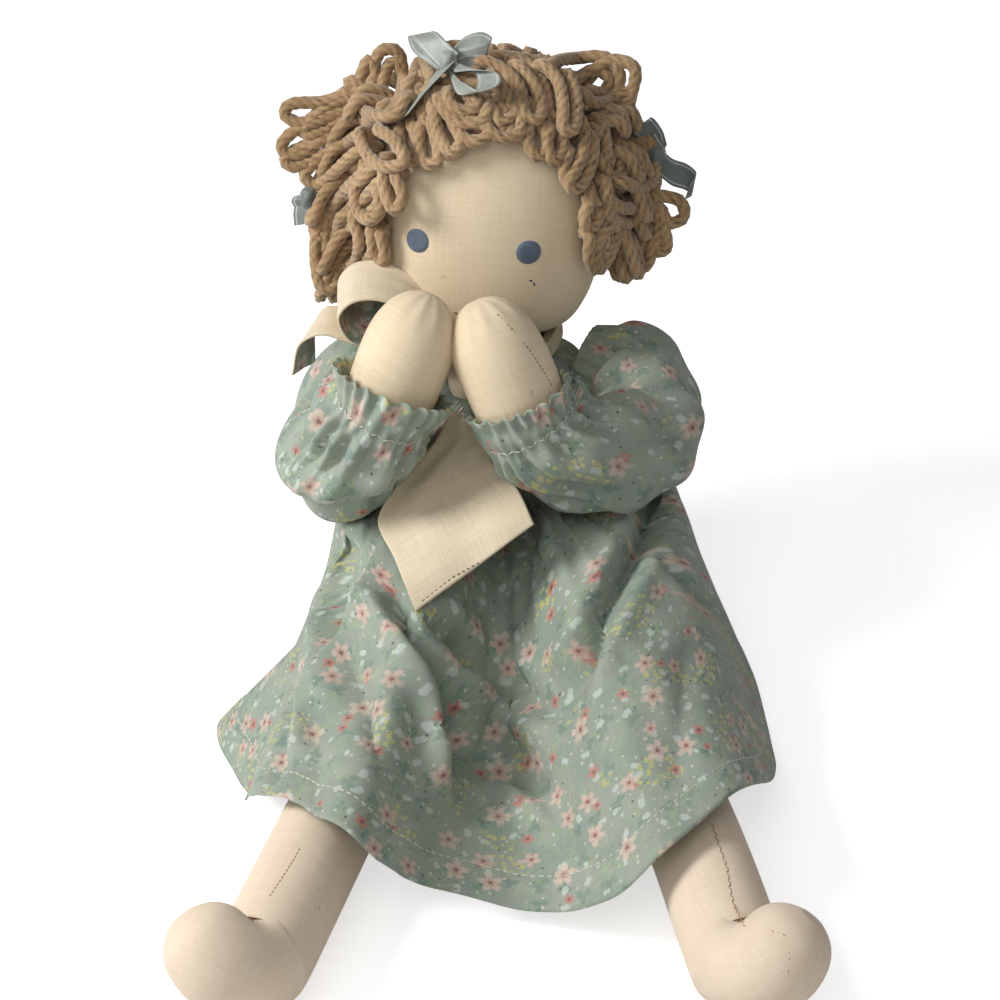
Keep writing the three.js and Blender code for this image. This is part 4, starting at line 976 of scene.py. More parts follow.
def near_head(x, y, grow):
    """Where a place in the photograph falls on the head grown by some height, or beside it."""
    half = np.array([head_width / 2, head_depth / 2, head_height / 2]) + grow
    start = ((camera_place - head_middle) @ head_spin) / half
    ray = (photo_ray(x, y) @ head_spin) / half
    a, b, c = ray @ ray, start @ ray, start @ start - 1
    inside = b * b - a * c
    t = (-b - math.sqrt(inside)) / a if inside > 0 else -b / a
    return camera_place + photo_ray(x, y) * t


def seen_loop(tree, grow, places):
    """One loop of wool where the photograph shows it, kept out of the head's cloth."""
    path = np.array([near_head(x, y, grow * mm) for x, y in places])
    for n, spot in enumerate(path):
        nearest, normal, *_ = tree.find_nearest(Vector(spot))
        above = (Vector(spot) - nearest).dot(normal)
        least = yarn_radius if 0 < n < len(path) - 1 else 0.5 * mm
        if above < least:
            path[n] = np.array(nearest + normal * least)
    # Both ends run in to the head, where they are sewn on.
    ends = []
    for spot in (path[0], path[-1]):
        nearest, normal, *_ = tree.find_nearest(Vector(spot))
        ends.append(np.array(nearest + normal * 1.5 * mm))
    return np.concatenate([ends[:1], path, ends[1:]])


def hair_loop(rng, angle, share, length, fall, spread):
    """One loop: out of the cloth, hanging over by its own weight, and back beside where it began."""
    root = hair_point(np.radians(angle), share, 0.5 * mm)
    over = hair_point(np.radians(angle), share + 0.02, 0.5 * mm)
    beside = hair_point(np.radians(angle + 2), share, 0.5 * mm)
    out = unit(np.cross(unit(beside - root), unit(over - root)))
    if out @ np.array([root[0], root[1], root[2] * 0.5 + 1 * mm]) < 0:
        out = -out
    side = unit(beside - root)
    spin = rng.uniform(-0.6, 0.6)
    side = unit(side * math.cos(spin) + np.cross(out, side) * math.sin(spin))
    down = unit(-UP + 0.25 * unit(np.array([root[0], root[1] * 0.6, 0])) + side * rng.uniform(-0.35, 0.35))
    reach = length * rng.uniform(0.85, 1.12)
    gap = yarn_radius * 2 * rng.uniform(0.95, 1.3) * spread
    # Places on one half of the loop: out of the cloth, down, and aside
    shape = [(-0.25, 0.0, 0.5), (0.3, 0.02, 0.55), (0.62, 0.3, 0.6), (0.72, 0.68, 0.62)]

    def half(aside):
        return [
            root + out * reach * a * (1 - 0.45 * fall) + down * reach * b * fall + side * aside * c
            for a, b, c in shape
        ]

    tip = root + out * reach * 0.74 * (1 - 0.45 * fall) + down * reach * (0.68 * fall + 0.16)
    return from_head(np.array([*half(-gap), tip, *half(gap)[::-1]]))


# Rows of loops: height share, first and last turn from the face, length, fall, and spread.
hair_rows = {
    "hair_fringe": [(0.375, -62, 62, 0.012, 0.6, 0.9), (0.41, -60, 60, 0.014, 0.6, 1.0)],
    "hair_side_right": [
        (-0.26, -122, -84, 0.026, 1.0, 1.0), (-0.18, -122, -76, 0.027, 1.0, 1.0),
        (-0.09, -122, -70, 0.028, 0.9, 1.0), (0.0, -122, -66, 0.03, 0.9, 1.0),
        (0.09, -122, -62, 0.034, 0.8, 1.0), (0.18, -122, -58, 0.036, 0.7, 1.0),
        (0.26, -122, -58, 0.036, 0.6, 1.0), (0.34, -122, -60, 0.032, 0.5, 1.1),
    ],
    "hair_side_left": [
        (-0.16, 92, 122, 0.012, 0.8, 1.0), (-0.09, 76, 122, 0.018, 0.9, 1.0),
        (0.0, 66, 122, 0.028, 0.9, 1.0), (0.09, 62, 122, 0.03, 0.8, 1.0), (0.18, 58, 122, 0.03, 0.8, 1.0),
        (0.26, 58, 122, 0.03, 0.6, 1.0), (0.34, 60, 122, 0.03, 0.4, 1.1),
    ],
    "hair_back": [
        (share, 124 + low * 1.5, 236 - low, 0.026 - low * 0.0004, 0.9, 1.0)
        for share, low in (
            (-0.34, 28), (-0.25, 18), (-0.16, 6), (-0.07, 0), (0.02, 0), (0.11, 0), (0.2, 0),
            (0.29, 0), (0.37, 0),
        )
    ],
    "hair_crown": [
        (0.43, -180, 180, 0.02, 0.5, 1.0), (0.46, -180, 180, 0.02, 0.4, 1.0),
        (0.485, -180, 180, 0.02, 0.4, 1.0), (0.498, -90, 90, 0.02, 0.3, 1.0),
    ],
}

# The loops that the photograph shows: height over the head in mm, then places in the photograph.
wool_loops = [
    (9, [(375, 120), (372, 79), (381, 51), (397, 51), (403, 79), (398, 114)]),
    (7, [(384, 108), (385, 73), (394, 61), (404, 79), (407, 108)]),
    (8, [(354, 114), (359, 82), (370, 58), (375, 79), (366, 111)]),
    (12, [(339, 91), (354, 111), (378, 120), (401, 105), (413, 79)]),
    (8, [(413, 117), (413, 85), (420, 61), (431, 79), (425, 114)]),
    (9, [(436, 52), (463, 46), (484, 61), (466, 79), (442, 85)]),
    (13, [(351, 96), (322, 102), (289, 105), (284, 114), (301, 123), (345, 111)]),
    (11, [(357, 111), (322, 120), (289, 135), (281, 149), (295, 155), (351, 123)]),
    (9, [(360, 123), (328, 138), (292, 152), (284, 161), (295, 167), (357, 138)]),
    (12, [(363, 135), (339, 149), (313, 164), (304, 176), (316, 185), (363, 149)]),
    (9, [(375, 146), (351, 167), (328, 182), (316, 196), (331, 199), (375, 164)]),
    (12, [(384, 158), (363, 179), (342, 196), (331, 217), (342, 223), (384, 179)]),
    (9, [(392, 173), (378, 188), (357, 202), (345, 220), (357, 226), (392, 191)]),
    (16, [(360, 132), (366, 152), (384, 167), (404, 161), (398, 144), (378, 129)]),
    (13, [(384, 170), (386, 194), (395, 211), (403, 196), (395, 173)]),
    (14, [(348, 99), (331, 105), (310, 120), (304, 135), (322, 132), (357, 111)]),
    (15, [(348, 79), (357, 99), (378, 117), (398, 114), (407, 96)]),
    (10, [(328, 202), (317, 232), (316, 264), (322, 288), (334, 288), (339, 261), (336, 226)]),
    (12, [(345, 214), (338, 241), (342, 264), (354, 264), (359, 238), (354, 214)]),
    (9, [(363, 211), (360, 238), (363, 258), (373, 252), (372, 226)]),
    (8, [(334, 208), (326, 232), (328, 255), (335, 255), (342, 226)]),
    (8, [(375, 226), (375, 246), (381, 264), (385, 252), (381, 232)]),
    (9, [(319, 196), (314, 217), (317, 238), (326, 232), (329, 208)]),
    (12, [(357, 185), (357, 208), (369, 220), (381, 208), (378, 188)]),
    (8, [(401, 123), (400, 141), (407, 161), (417, 158), (416, 135), (410, 120)]),
    (9, [(422, 123), (419, 144), (426, 164), (438, 161), (436, 138), (431, 120)]),
    (11, [(428, 88), (434, 114), (441, 138), (451, 152), (461, 144), (451, 117), (436, 91)]),
    (13, [(448, 91), (451, 105), (466, 112), (478, 105), (469, 94)]),
    (11, [(451, 111), (456, 129), (469, 141), (486, 138), (491, 129), (475, 123), (463, 111)]),
    (11, [(482, 105), (488, 129), (503, 138), (520, 132), (517, 114), (501, 123), (492, 108)]),
    (12, [(436, 96), (448, 114), (463, 123), (484, 120), (489, 105)]),
    (8, [(442, 144), (448, 155), (463, 146), (463, 129)]),
    (12, [(478, 61), (504, 70), (520, 88), (523, 111), (534, 121), (542, 111), (534, 85), (513, 64)]),
    (10, [(510, 58), (535, 70), (545, 91), (551, 117), (560, 117), (560, 91), (542, 64)]),
    (15, [(539, 64), (557, 79), (563, 105), (564, 130), (573, 130), (576, 99), (566, 73)]),
    (9, [(489, 58), (516, 58), (542, 64), (560, 76)]),
    (13, [(548, 67), (578, 58), (607, 58), (620, 76), (613, 96), (592, 102), (578, 91)]),
    (11, [(578, 79), (595, 70), (610, 79), (604, 92), (586, 92)]),
    (9, [(607, 61), (634, 67), (632, 91), (619, 108)]),
    (10, [(581, 105), (604, 111), (628, 105), (631, 91)]),
    (9, [(466, 85), (492, 88), (510, 99), (519, 117)]),
    (11, [(489, 73), (504, 91), (513, 108), (525, 120), (519, 96), (504, 76)]),
    (9, [(529, 123), (528, 144), (538, 157), (547, 146), (542, 126)]),
    (10, [(550, 126), (547, 146), (553, 161), (563, 149), (560, 129)]),
    (12, [(581, 120), (584, 146), (576, 170), (567, 185), (578, 188), (591, 164), (592, 138)]),
    (11, [(598, 117), (606, 146), (604, 167), (613, 179), (620, 161), (616, 135), (610, 120)]),
    (12, [(619, 120), (629, 146), (626, 170), (617, 185), (634, 179), (639, 149), (631, 126)]),
    (11, [(634, 129), (644, 152), (645, 173), (634, 188), (648, 185), (656, 158), (645, 138)]),
    (10, [(569, 149), (564, 170), (570, 185), (584, 176), (586, 155)]),
    (14, [(645, 161), (656, 182), (645, 199), (622, 208), (607, 196), (606, 182)]),
    (12, [(656, 194), (648, 211), (628, 223), (610, 214), (607, 199)]),
    (16, [(622, 182), (639, 188), (653, 179)]),
    (8, [(589, 202), (584, 217), (589, 229), (598, 220), (598, 202)]),
    (10, [(610, 220), (600, 238), (595, 255), (601, 267), (611, 252), (617, 229)]),
    (11, [(623, 226), (622, 246), (628, 264), (638, 255), (638, 232)]),
    (9, [(642, 235), (638, 255), (641, 270), (650, 258), (650, 238)]),
    (12, [(654, 211), (657, 232), (657, 252), (666, 249), (664, 226), (660, 208)]),
    (8, [(663, 196), (681, 202), (684, 217), (669, 223), (660, 211)]),
    (9, [(589, 235), (589, 258), (598, 270), (604, 252), (601, 232)]),
]


def hair():
    rng = np.random.default_rng(7)
    spacing = 8.2 * mm
    pieces = {name: [] for name in hair_rows}
    for name, rows in hair_rows.items():
        for number, (share, first, last, length, fall, spread) in enumerate(rows):
            half_width, half_depth = head_size(share)
            arc = math.radians(last - first) * (half_width + half_depth) / 2
            count = max(int(arc / spacing), 2)
            for n in range(count):
                angle = lerp(first, last, (n + 0.25 + 0.5 * (number % 2)) / count) + rng.uniform(-2.5, 2.5)
                # Where the photograph shows the hair, these loops only fill in below the others.
                shown = abs(angle) < 75 and share > -0.3 or abs(angle) < 110 and share > 0.4
                long = min(length, 0.014) if shown else length
                loop = hair_loop(rng, angle, share + rng.uniform(-0.012, 0.012), long, fall, spread)
                pieces[name].append(yarn_along(loop))
    tree = tree_of(head_piece)
    for grow, places in wool_loops:
        path = seen_loop(tree, grow, places)
        middle = (path[1:-1].mean(axis=0) - head_middle) @ head_spin
        angle = math.degrees(math.atan2(middle[0], -middle[1]))
        name = "hair_fringe" if abs(angle) < 61 else "hair_side_right" if angle < 0 else "hair_side_left"
        name = "hair_crown" if middle[2] > 0.43 * head_height else name
        pieces[name].append(yarn_along(path))
    for name, loops in pieces.items():
        finish(joined(f"{name}_loops", loops), hair_wool, "head", [name])
    for yarn in yarns.values():
        bpy.data.objects.remove(yarn)


hair()


# Skirt, gathered at the waist and laid over both legs
leg_plan = {
    "left": {"side": 1, "angle": 15, "bow": 12 * mm, "roll": 42},
    "right": {"side": -1, "angle": 15.5, "bow": 2 * mm, "roll": 43},
}
hip = np.array([21.0, -38.446, 21.0]) * mm
hem_shares = np.array([
    [0, 0.27, 0, 0.45], [-0.42, 0.21, 0, 0.42], [-0.66, 0.06, 0, 0.5], [-0.71, -0.12, 0, 0.6],
    [-0.76, -0.29, 0, 0.7], [-0.99, -0.43, 0, 0.85], [-0.9, -0.6, 0.1, 0.95], [-0.72, -0.82, 0.62, 1.02],
    [-0.5, -0.95, 0.98, 1.08], [-0.32, -0.97, 0.6, 0.85], [-0.1, -0.94, 0.22, 0.5], [0.12, -0.96, 0.18, 0.5],
    [0.34, -1, 0.45, 0.8], [0.52, -0.98, 0.9, 1.04], [0.72, -0.88, 0.98, 1.08], [0.92, -0.66, 0.35, 0.98],
    [0.94, -0.42, 0, 0.8], [0.88, -0.2, 0, 0.6], [0.76, 0.02, 0, 0.5], [0.46, 0.22, 0, 0.42],
])


def leg_middle(plan, share):
    share = np.asarray(share, float)
    bowed = plan["side"] * plan["bow"] * np.sin(np.pi * np.minimum(share * 1.05, 1)) ** 2
    return np.stack([bowed, -share * leg_length, 0 * share], axis=-1)


def place_leg(plan, points):
    return turned(points, UP, plan["side"] * plan["angle"]) + hip * np.array([plan["side"], 1, 1])


# Legs: the place along the leg, how far the foot has turned up, its tilt, width and thickness
leg_shares = np.array([
    [-0.0105, 0, 0, 0.1, 0.01], [-0.0105, 0, 0, 0.58, 0.05], [0, 0, 0, 0.62, 0.14], [0.035, 0, 0, 0.82, 0.3],
    [0.09, 0, 0, 0.98, 0.64], [0.17, 0, 0, 1.02, 0.9], [0.36, 0, 0, 1.03, 1], [0.58, 0, 0, 0.98, 0.985],
    [0.76, 0, 0, 0.98, 0.985], [0.82, 0, 18, 0.99, 1.0], [0.88, 0.05, 48, 0.98, 1.1],
    [0.915, 0.34, 76, 0.97, 1.06], [0.914, 0.58, 90, 0.92, 0.97], [0.912, 0.8, 94, 0.76, 0.82],
    [0.91, 0.93, 95, 0.5, 0.52], [0.909, 1.0, 95, 0.03, 0.03],
])


def soften_ankle(piece, plan):
    """Eases the cloth where the foot bends up from the leg, so that it rolls instead of creasing."""
    spot = place_leg(plan, leg_middle(plan, np.array([0.84])) + np.array([0, 0, leg_thickness * 0.4]))[0]
    near = np.linalg.norm(coordinates(piece) - spot, axis=1) < 31 * mm
    choose(piece)
    for vertex, chosen in zip(piece.data.vertices, near):
        vertex.select = bool(chosen)
    for face in piece.data.polygons:
        face.select = all(near[index] for index in face.vertices)
    bpy.ops.object.mode_set(mode="EDIT")
    bpy.ops.mesh.vertices_smooth(factor=0.5, repeat=60)
    bpy.ops.object.mode_set(mode="OBJECT")


def leg_piece(name, plan):
    side, roll = plan["side"], plan["roll"]
    rows_at = np.linspace(0, 1, 400)
    fine = spline(leg_shares, rows_at)

    def lifted(along, turned_up):
        twist = side * roll * smooth(along, 0.15, 0.75)
        upward = turned(np.broadcast_to(UP, (len(along), 3)), AHEAD, -twist)
        return twist, upward * (turned_up * toe_reach)[:, None]

    middle = leg_middle(plan, fine[:, 0]) + lifted(fine[:, 0], fine[:, 1])[1]
    step = np.maximum(np.linalg.norm(np.gradient(middle, axis=0), axis=1, keepdims=True), 0.05 * mm)
    bend = np.gradient(unit(np.gradient(middle, axis=0)), axis=0) / step
    bend[fine[:, 0] < 0.6] = 0
    bend = evened(bend)

    def place(u, v):
        along, turned_up, tilt, wide, thick = read_off(v, rows_at, fine).T
        twist, lift = lifted(along, turned_up)
        splay = -side * plan["angle"] * (1 - smooth(along, 0, 0.15))
        across = turned(turned(np.broadcast_to(SIDEWAYS, (len(u), 3)), UP, splay), AHEAD, -twist)
        tilt = np.radians(tilt)
        up = turned(np.stack([0 * tilt, np.sin(tilt), np.cos(tilt)], axis=-1), AHEAD, -twist)
        angle = u * 2 * np.pi
        half = leg_thickness / 2 - 0.2 * mm
        ring = across * (np.cos(angle) * wide * half)[:, None] + up * (np.sin(angle) * thick * half)[:, None]
        # Inside the bend at the ankle the cloth stops short of where it would cross itself.
        curve = read_off(v, rows_at, bend)
        sharp = np.linalg.norm(curve, axis=1)
        inward = curve / np.maximum(sharp, 1e-9)[:, None]
        over = np.maximum((ring * inward).sum(axis=1) - 0.85 / np.maximum(sharp, 1.0), 0)
        ring = ring - inward * over[:, None]
        return place_leg(plan, leg_middle(plan, along) + lift + ring)

    piece = patch(f"{name}_leg_cloth", 48, 92, place, (0.135, 0.33), closed=True)
    held = coordinates(piece)[:, 1] > -60 * mm
    swell(piece, 2.5, 0.8 * mm, slack=0.01, held=held)
    soften_ankle(piece, plan)
    co = coordinates(piece)
    co[:, 2] = np.maximum(co[:, 2], 0.2 * mm)
    put_coordinates(piece, co)
    apply_modifier(piece, "SUBSURF", levels=1, render_levels=1)
    finish(piece, leg_cotton, f"{name}_leg", [f"{name}_leg", f"{name}_leg_stuffing"])
    return piece


legs = {name: leg_piece(name, plan) for name, plan in leg_plan.items()}


# The arms' middle lines, which the skirt keeps clear of
arm_shares = {
    "left": np.array([[0, 0, 0], [0.07, -0.03, -0.02], [0.11, -0.21, -0.07], [0, -0.36, -0.02],
                      [-0.16, -0.43, 0.08], [-0.23, -0.42, 0.23], [-0.3, -0.36, 0.38]]),
    "right": np.array([[0, 0, 0], [0.075, -0.03, -0.025], [0.15, -0.25, -0.1], [0.108, -0.37, -0.01],
                       [0.025, -0.43, 0.14], [-0.029, -0.4, 0.265], [-0.088, -0.35, 0.39]]),
}
# The place along the arm, and the radius as a share of its thickness
upper_arm_shares = np.array([
    [0, 0.01], [0.005, 0.1], [0.04, 0.19], [0.09, 0.26], [0.16, 0.32], [0.22, 0.29], [0.26, 0.16],
    [0.262, 0.01],
])
forearm_shares = np.array([
    [0.338, 0.01], [0.34, 0.16], [0.37, 0.28], [0.46, 0.36], [0.56, 0.4], [0.64, 0.42], [0.72, 0.48],
    [0.8, 0.5], [0.88, 0.49], [0.94, 0.42], [0.98, 0.29], [0.997, 0.14], [1.0, 0.02],
])
cuff_share = 0.7


class Arm:
    """The middle line of one arm, with the directions square to it and how it bends."""

    def __init__(self, name):
        self.name = name
        self.side = 1 if name == "left" else -1
        joint = next(j for j in frame["joints"] if j["name"] == f"{name}_shoulder")
        self.seam = np.array(joint["pos_m"])
        points = self.seam + arm_shares[name] * np.array([self.side, 1, 1]) * arm_length
        self.at = np.linspace(0, 1, 300)
        self.path = even_spline(points, self.at)
        self.tangent, self.across, self.up = frames_along(self.path)
        step = np.linalg.norm(np.diff(self.path, axis=0), axis=1).mean()
        self.bend = evened(np.gradient(self.tangent, axis=0) / step)

    def take(self, values, share):
        return read_off(share, self.at, values)

    def tube(self, angle, share, radius, keep_inside_bend=False):
        centre = self.take(self.path, share)
        out = self.take(self.across, share) * np.cos(angle)[:, None]
        out = unit(out + self.take(self.up, share) * np.sin(angle)[:, None])
        if keep_inside_bend:
            inward = (out * self.take(self.bend, share)).sum(axis=1)
            radius = np.minimum(radius, 0.78 / np.maximum(inward, 1.0))
        return centre + out * np.asarray(radius)[..., None]


plain_arms = {name: Arm(name) for name in ("left", "right")}


def skirt_shape(u, v):
    """The skirt as it lies: u runs round from the middle of the back by the doll's right, and v
    from the waist to the hem."""
    hem = spline(hem_shares[:, :3], u, closed=True)
    held = spline(hem_shares[:, [0, 1, 3]], u, closed=True)[:, 2] * lap_height
    hem_height = hem[:, 2] * lap_height + hem_clearance + skirt_wall
    edge = np.stack([hem[:, 0] * skirt_spread, hem[:, 1] * skirt_reach, hem_height], axis=-1)
    angle = np.arctan2(edge[:, 0], -edge[:, 1])
    start = around_torso(angle, waist_height, ease_out + dress_wall)
    right = hem[:, 0] < 0
    fullness = lerp(np.where(right, 0.16, 0.26), 0.42, smooth(-hem[:, 1], np.where(right, 0.3, 0), 0.85))
    # The gathers puff the cloth out at each side, and a corner of the hem lies spread on the right.
    corner = smooth(-hem[:, 0], 0.78, 0.95) * smooth(hem[:, 1], -0.75, -0.6)
    puff = lerp(0.16, 0.56, np.abs(np.sin(angle))) - 0.14 * corner
    fullness = np.maximum(fullness, puff + 0.24 + 0.1 * corner)
    middle = lerp(start, edge, fullness[:, None])
    middle[:, 0] *= 1 - 0.24 * corner
    middle[:, 2] = np.maximum(held * np.minimum(fullness * 2.4, 1.25), edge[:, 2])
    shoulder = lerp(start, edge, puff[:, None])
    shoulder[:, 2] = lerp(waist_height, middle[:, 2], 0.25)
    point = spline_between([start, shoulder, middle, edge], v)
    for arm in plain_arms.values():
        upper = arm.path[20:150]
        away = point[:, None, :] - upper[None]
        distance = np.linalg.norm(away, axis=2)
        nearest = distance.argmin(axis=1)
        rows = np.arange(len(point))
        push = away[rows, nearest]
        push[:, 2] = np.minimum(push[:, 2], -5 * mm)
        short = sleeve_radius * 1.04 + skirt_wall + 0.8 * mm - distance[rows, nearest]
        low_enough = smooth(v, 0.02, 0.15) * (away[rows, nearest, 2] < 5 * mm)
        point += unit(push) * (np.maximum(short, 0) * low_enough)[:, None]
    for plan in leg_plan.values():
        spots = place_leg(plan, leg_middle(plan, np.arange(2, 21) / 20 * 0.86))
        away = point[:, None, :] - spots[None]
        distance = np.sqrt(away[..., 0] ** 2 + away[..., 2] ** 2 + (away[..., 1] * 0.2) ** 2)
        nearest = distance.argmin(axis=1)
        rows = np.arange(len(point))
        push = away[rows, nearest] * np.array([1, 0, 1])
        push[:, 2] = np.maximum(push[:, 2], 0)
        short = leg_thickness / 2 * 1.06 + clearance + skirt_wall + 0.8 * mm - distance[rows, nearest]
        point += unit(push) * np.where((short > 0) & (v > 0), short, 0)[:, None]
    return point


# Folds of the skirt: the places in the photograph that each runs through, its half width and
# its height in mm, which is less than 0 in a valley.
skirt_folds = [
    ([(332, 531), (350, 533), (370, 530)], 6, 4.5),
    ([(330, 545), (352, 546), (368, 543)], 6, -4),
    ([(326, 556), (318, 600), (318, 650), (326, 700)], 6, 5.1),
    ([(338, 560), (340, 610), (352, 670), (368, 715), (380, 755)], 7, -9.2),
    ([(358, 590), (380, 612), (404, 655), (424, 705), (437, 755), (446, 790)], 5.5, 9.2),
    ([(392, 585), (412, 625), (440, 680), (460, 730), (464, 780)], 8, -13),
    ([(466, 790), (505, 793), (532, 808), (556, 832)], 6, 5.9),
    ([(480, 770), (515, 776), (545, 795)], 6, -5.9),
    ([(430, 612), (465, 648), (515, 685), (556, 715)], 5, -10.5),
    ([(418, 630), (452, 668), (500, 706), (545, 735)], 7, 5.5),
    ([(440, 602), (475, 636), (525, 672)], 6, 3.4),
    ([(536, 470), (534, 500), (522, 560), (510, 590)], 5, -8.5),
    ([(546, 462), (560, 492), (566, 528)], 3.5, -5.9),
    ([(544, 480), (550, 520), (546, 560)], 4.5, 5.1),
    ([(650, 492), (643, 534), (614, 588), (592, 632), (583, 668), (566, 695)], 6, -15),
    ([(632, 500), (618, 550), (592, 602), (570, 645), (548, 665)], 8, 6.8),
    ([(660, 545), (632, 600), (604, 655), (594, 690)], 6, 5.1),
    ([(650, 552), (676, 570), (698, 590), (714, 598)], 4, -5.9),
    ([(582, 472), (612, 484), (652, 484)], 3, -6.8),
    ([(600, 462), (630, 470), (655, 470)], 3, 4.2),
    ([(292, 680), (280, 755), (266, 790)], 4, -6.8),
    ([(300, 690), (292, 755), (280, 800)], 6, 5.9),
    ([(690, 640), (684, 720), (676, 790)], 9, -4.2),
]
skirt_across = 400
skirt_along = 120


leg_tree = tree_of(*legs.values())


def lifted_off(tree, points, gap):
    """Moves points that lie in or too near a piece out to a gap from it."""
    for n, spot in enumerate(points):
        nearest, normal, _, _ = tree.find_nearest(Vector(spot), 0.02)
        if nearest is not None and (Vector(spot) - nearest).dot(normal) < gap:
            points[n] = nearest + normal * gap
    return points


def skirt_tree(sheet):
    """A search tree over the skirt before it is folded."""
    rows, columns = sheet.shape[:2]
    number = np.arange(rows * columns).reshape(rows, columns)
    corners = np.stack([number[:-1, :-1], number[1:, :-1], number[1:, 1:], number[:-1, 1:]], axis=-1)
    return BVHTree.FromPolygons(sheet.reshape(-1, 3).tolist(), corners.reshape(-1, 4).tolist())


hem_share = 0.95


def skirt_piece():
    laid_out = {}

    def place(u, v):
        point = skirt_shape(u, v)
        grid = (skirt_along + 1, skirt_across + 1, 3)
        order = np.lexsort((u, v))
        sheet = point[order].reshape(grid)
        round_way = np.gradient(sheet, axis=1)
        down_way = np.gradient(sheet, axis=0)
        normal = unit(np.cross(down_way, round_way))
        normal[0] = normal[1]
        U, V = u[order].reshape(grid[:2]), v[order].reshape(grid[:2])
        # Fine gathers below the waist seam, which open out into a few soft pleats
        gathers = np.sin(U * 2 * np.pi * 52 + 1.5 * np.sin(U * 37)) * np.exp(-V * 9)
        gathers = gathers * smooth(V, 0, 0.03) * 1.3 * mm
        pleats = np.sin(U * 2 * np.pi * 17 + 2 * np.sin(U * 11)) + 0.6 * np.sin(U * 2 * np.pi * 29 + 1)
        pleats = pleats * 1.5 * mm * smooth(V, 0.02, 0.12) * np.exp(-V * 2.2)
        waves = np.sin(U * 2 * np.pi * 9 + V * 5) * smooth(V, 0.3, 0.9) * 0.8 * mm
        move = gathers + pleats + waves
        # The print runs true to the cloth: down from the waist, and round from the middle of each
        # panel, one in front and one at the back, which meet in a seam at each side.
        steps = np.linalg.norm(np.diff(sheet, axis=1), axis=2)
        run = np.concatenate([0 * steps[:, :1], np.cumsum(steps, axis=1)], axis=1)
        laid_out["front"] = run - run[:, skirt_across // 2, None]
        laid_out["back"] = np.where(U < 0.5, run, run - run[:, -1:])
        steps = np.linalg.norm(np.diff(sheet, axis=0), axis=2)
        laid_out["down"] = np.concatenate([0 * steps[:1], np.cumsum(steps, axis=0)], axis=0)
        plain = skirt_tree(sheet)
        flat_sheet = sheet.reshape(-1, 3)
        for places, width, height in skirt_folds:
            run, _ = on_photo(plain, places)
            if len(run) < 2:
                continue
            run = even_spline(run, np.linspace(0, 1, 40))
            nearest = np.full(len(flat_sheet), np.inf)
            at = np.zeros(len(flat_sheet))
            for n, spot in enumerate(run):
                distance = ((flat_sheet - spot) ** 2).sum(axis=1)
                closer = distance < nearest
                nearest[closer] = distance[closer]
                at[closer] = n / 39
            fade = np.clip(np.minimum(at, 1 - at) * 5 + 0.25, 0, 1)
            # A ridge is round, and a valley is a crease.
            far = np.sqrt(nearest) / (width * mm)
            profile = np.exp(-(far ** (2 if height > 0 else 1.2)))
            move += (height * mm * profile * fade).reshape(grid[:2])
        # The hem is folded up and sewn, so its cloth is double there.
        move += 0.5 * mm * smooth(V, hem_share - 0.004, hem_share + 0.004)
        sheet = sheet + normal * move[..., None]
        sheet = lifted_off(leg_tree, sheet.reshape(-1, 3), 1.3 * mm).reshape(sheet.shape)
        sheet[..., 2] = np.maximum(sheet[..., 2], hem_clearance + skirt_wall)
        sheet[:, -1] = sheet[:, 0]
        laid = np.empty_like(point)
        laid[order] = sheet.reshape(-1, 3)
        laid_out["hem"] = [rows[round(hem_share * skirt_along)] for rows in (sheet, normal)]
        return laid

    flat = (0.74, 0.2)
    piece = patch("skirt", skirt_across, skirt_along, place, flat, closed=True, ends=False)
    layer = piece.data.uv_layers[0].data
    uv = np.empty(len(layer) * 2)
    layer.foreach_get("uv", uv)
    column, row = np.rint(uv.reshape(-1, 2) / flat * (skirt_across, skirt_along)).astype(int).T
    corners = np.array([len(face.vertices) for face in piece.data.polygons])
    starts = np.concatenate([[0], np.cumsum(corners)[:-1]])
    middle = (np.add.reduceat(column, starts) / corners).repeat(corners) / skirt_across
    in_front = np.abs(middle - 0.5) < 0.25
    across = np.where(in_front, laid_out["front"][row, column], laid_out["back"][row, column])
    layer.foreach_set("uv", np.stack([across, laid_out["down"][row, column]], axis=-1).ravel())
    return piece, flat, laid_out["hem"]


skirt, skirt_flat, skirt_hem = skirt_piece()
skirt_area = area_of(skirt)
thicken(skirt, 0.5 * mm)
finish(skirt, dress_print, None, ["dress_skirt"])
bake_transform(skirt)


def hem_stitches():
    path, normals = skirt_hem
    row = stitches("hem_stitches", path, normals, 3.4 * mm, 2.9 * mm, 0.27 * mm, white_thread, None)
    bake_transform(row)


hem_stitches()


# Bodice
def bodice_piece():
    top = 0.99 * torso_height
    low = waist_height - 0.5 * mm

    def place(u, v):
        z = lerp(low, top, v)
        angle = u * 2 * np.pi + np.pi
        gathers = np.sin(angle * 44) * np.exp(-v * 5) * 0.6 * mm
        folds = np.sin(angle * 7 + v * 3) * 0.4 * mm * np.sin(np.pi * v)
        placket = np.where(np.abs(u - 0.5) > 0.47, 0.5 * mm, 0)
        return around_torso(angle, z, ease_out + dress_wall - 0.3 * mm + gathers + folds + placket)

    piece = patch("bodice", 260, 30, place, (0.27, 0.042), closed=True, ends=False)
    thicken(piece, 0.5 * mm)
    finish(piece, dress_print, "torso", ["dress_bodice"])
    return piece


bodice = bodice_piece()
skirt_flat = (skirt_flat[0], skirt_area / skirt_flat[0])

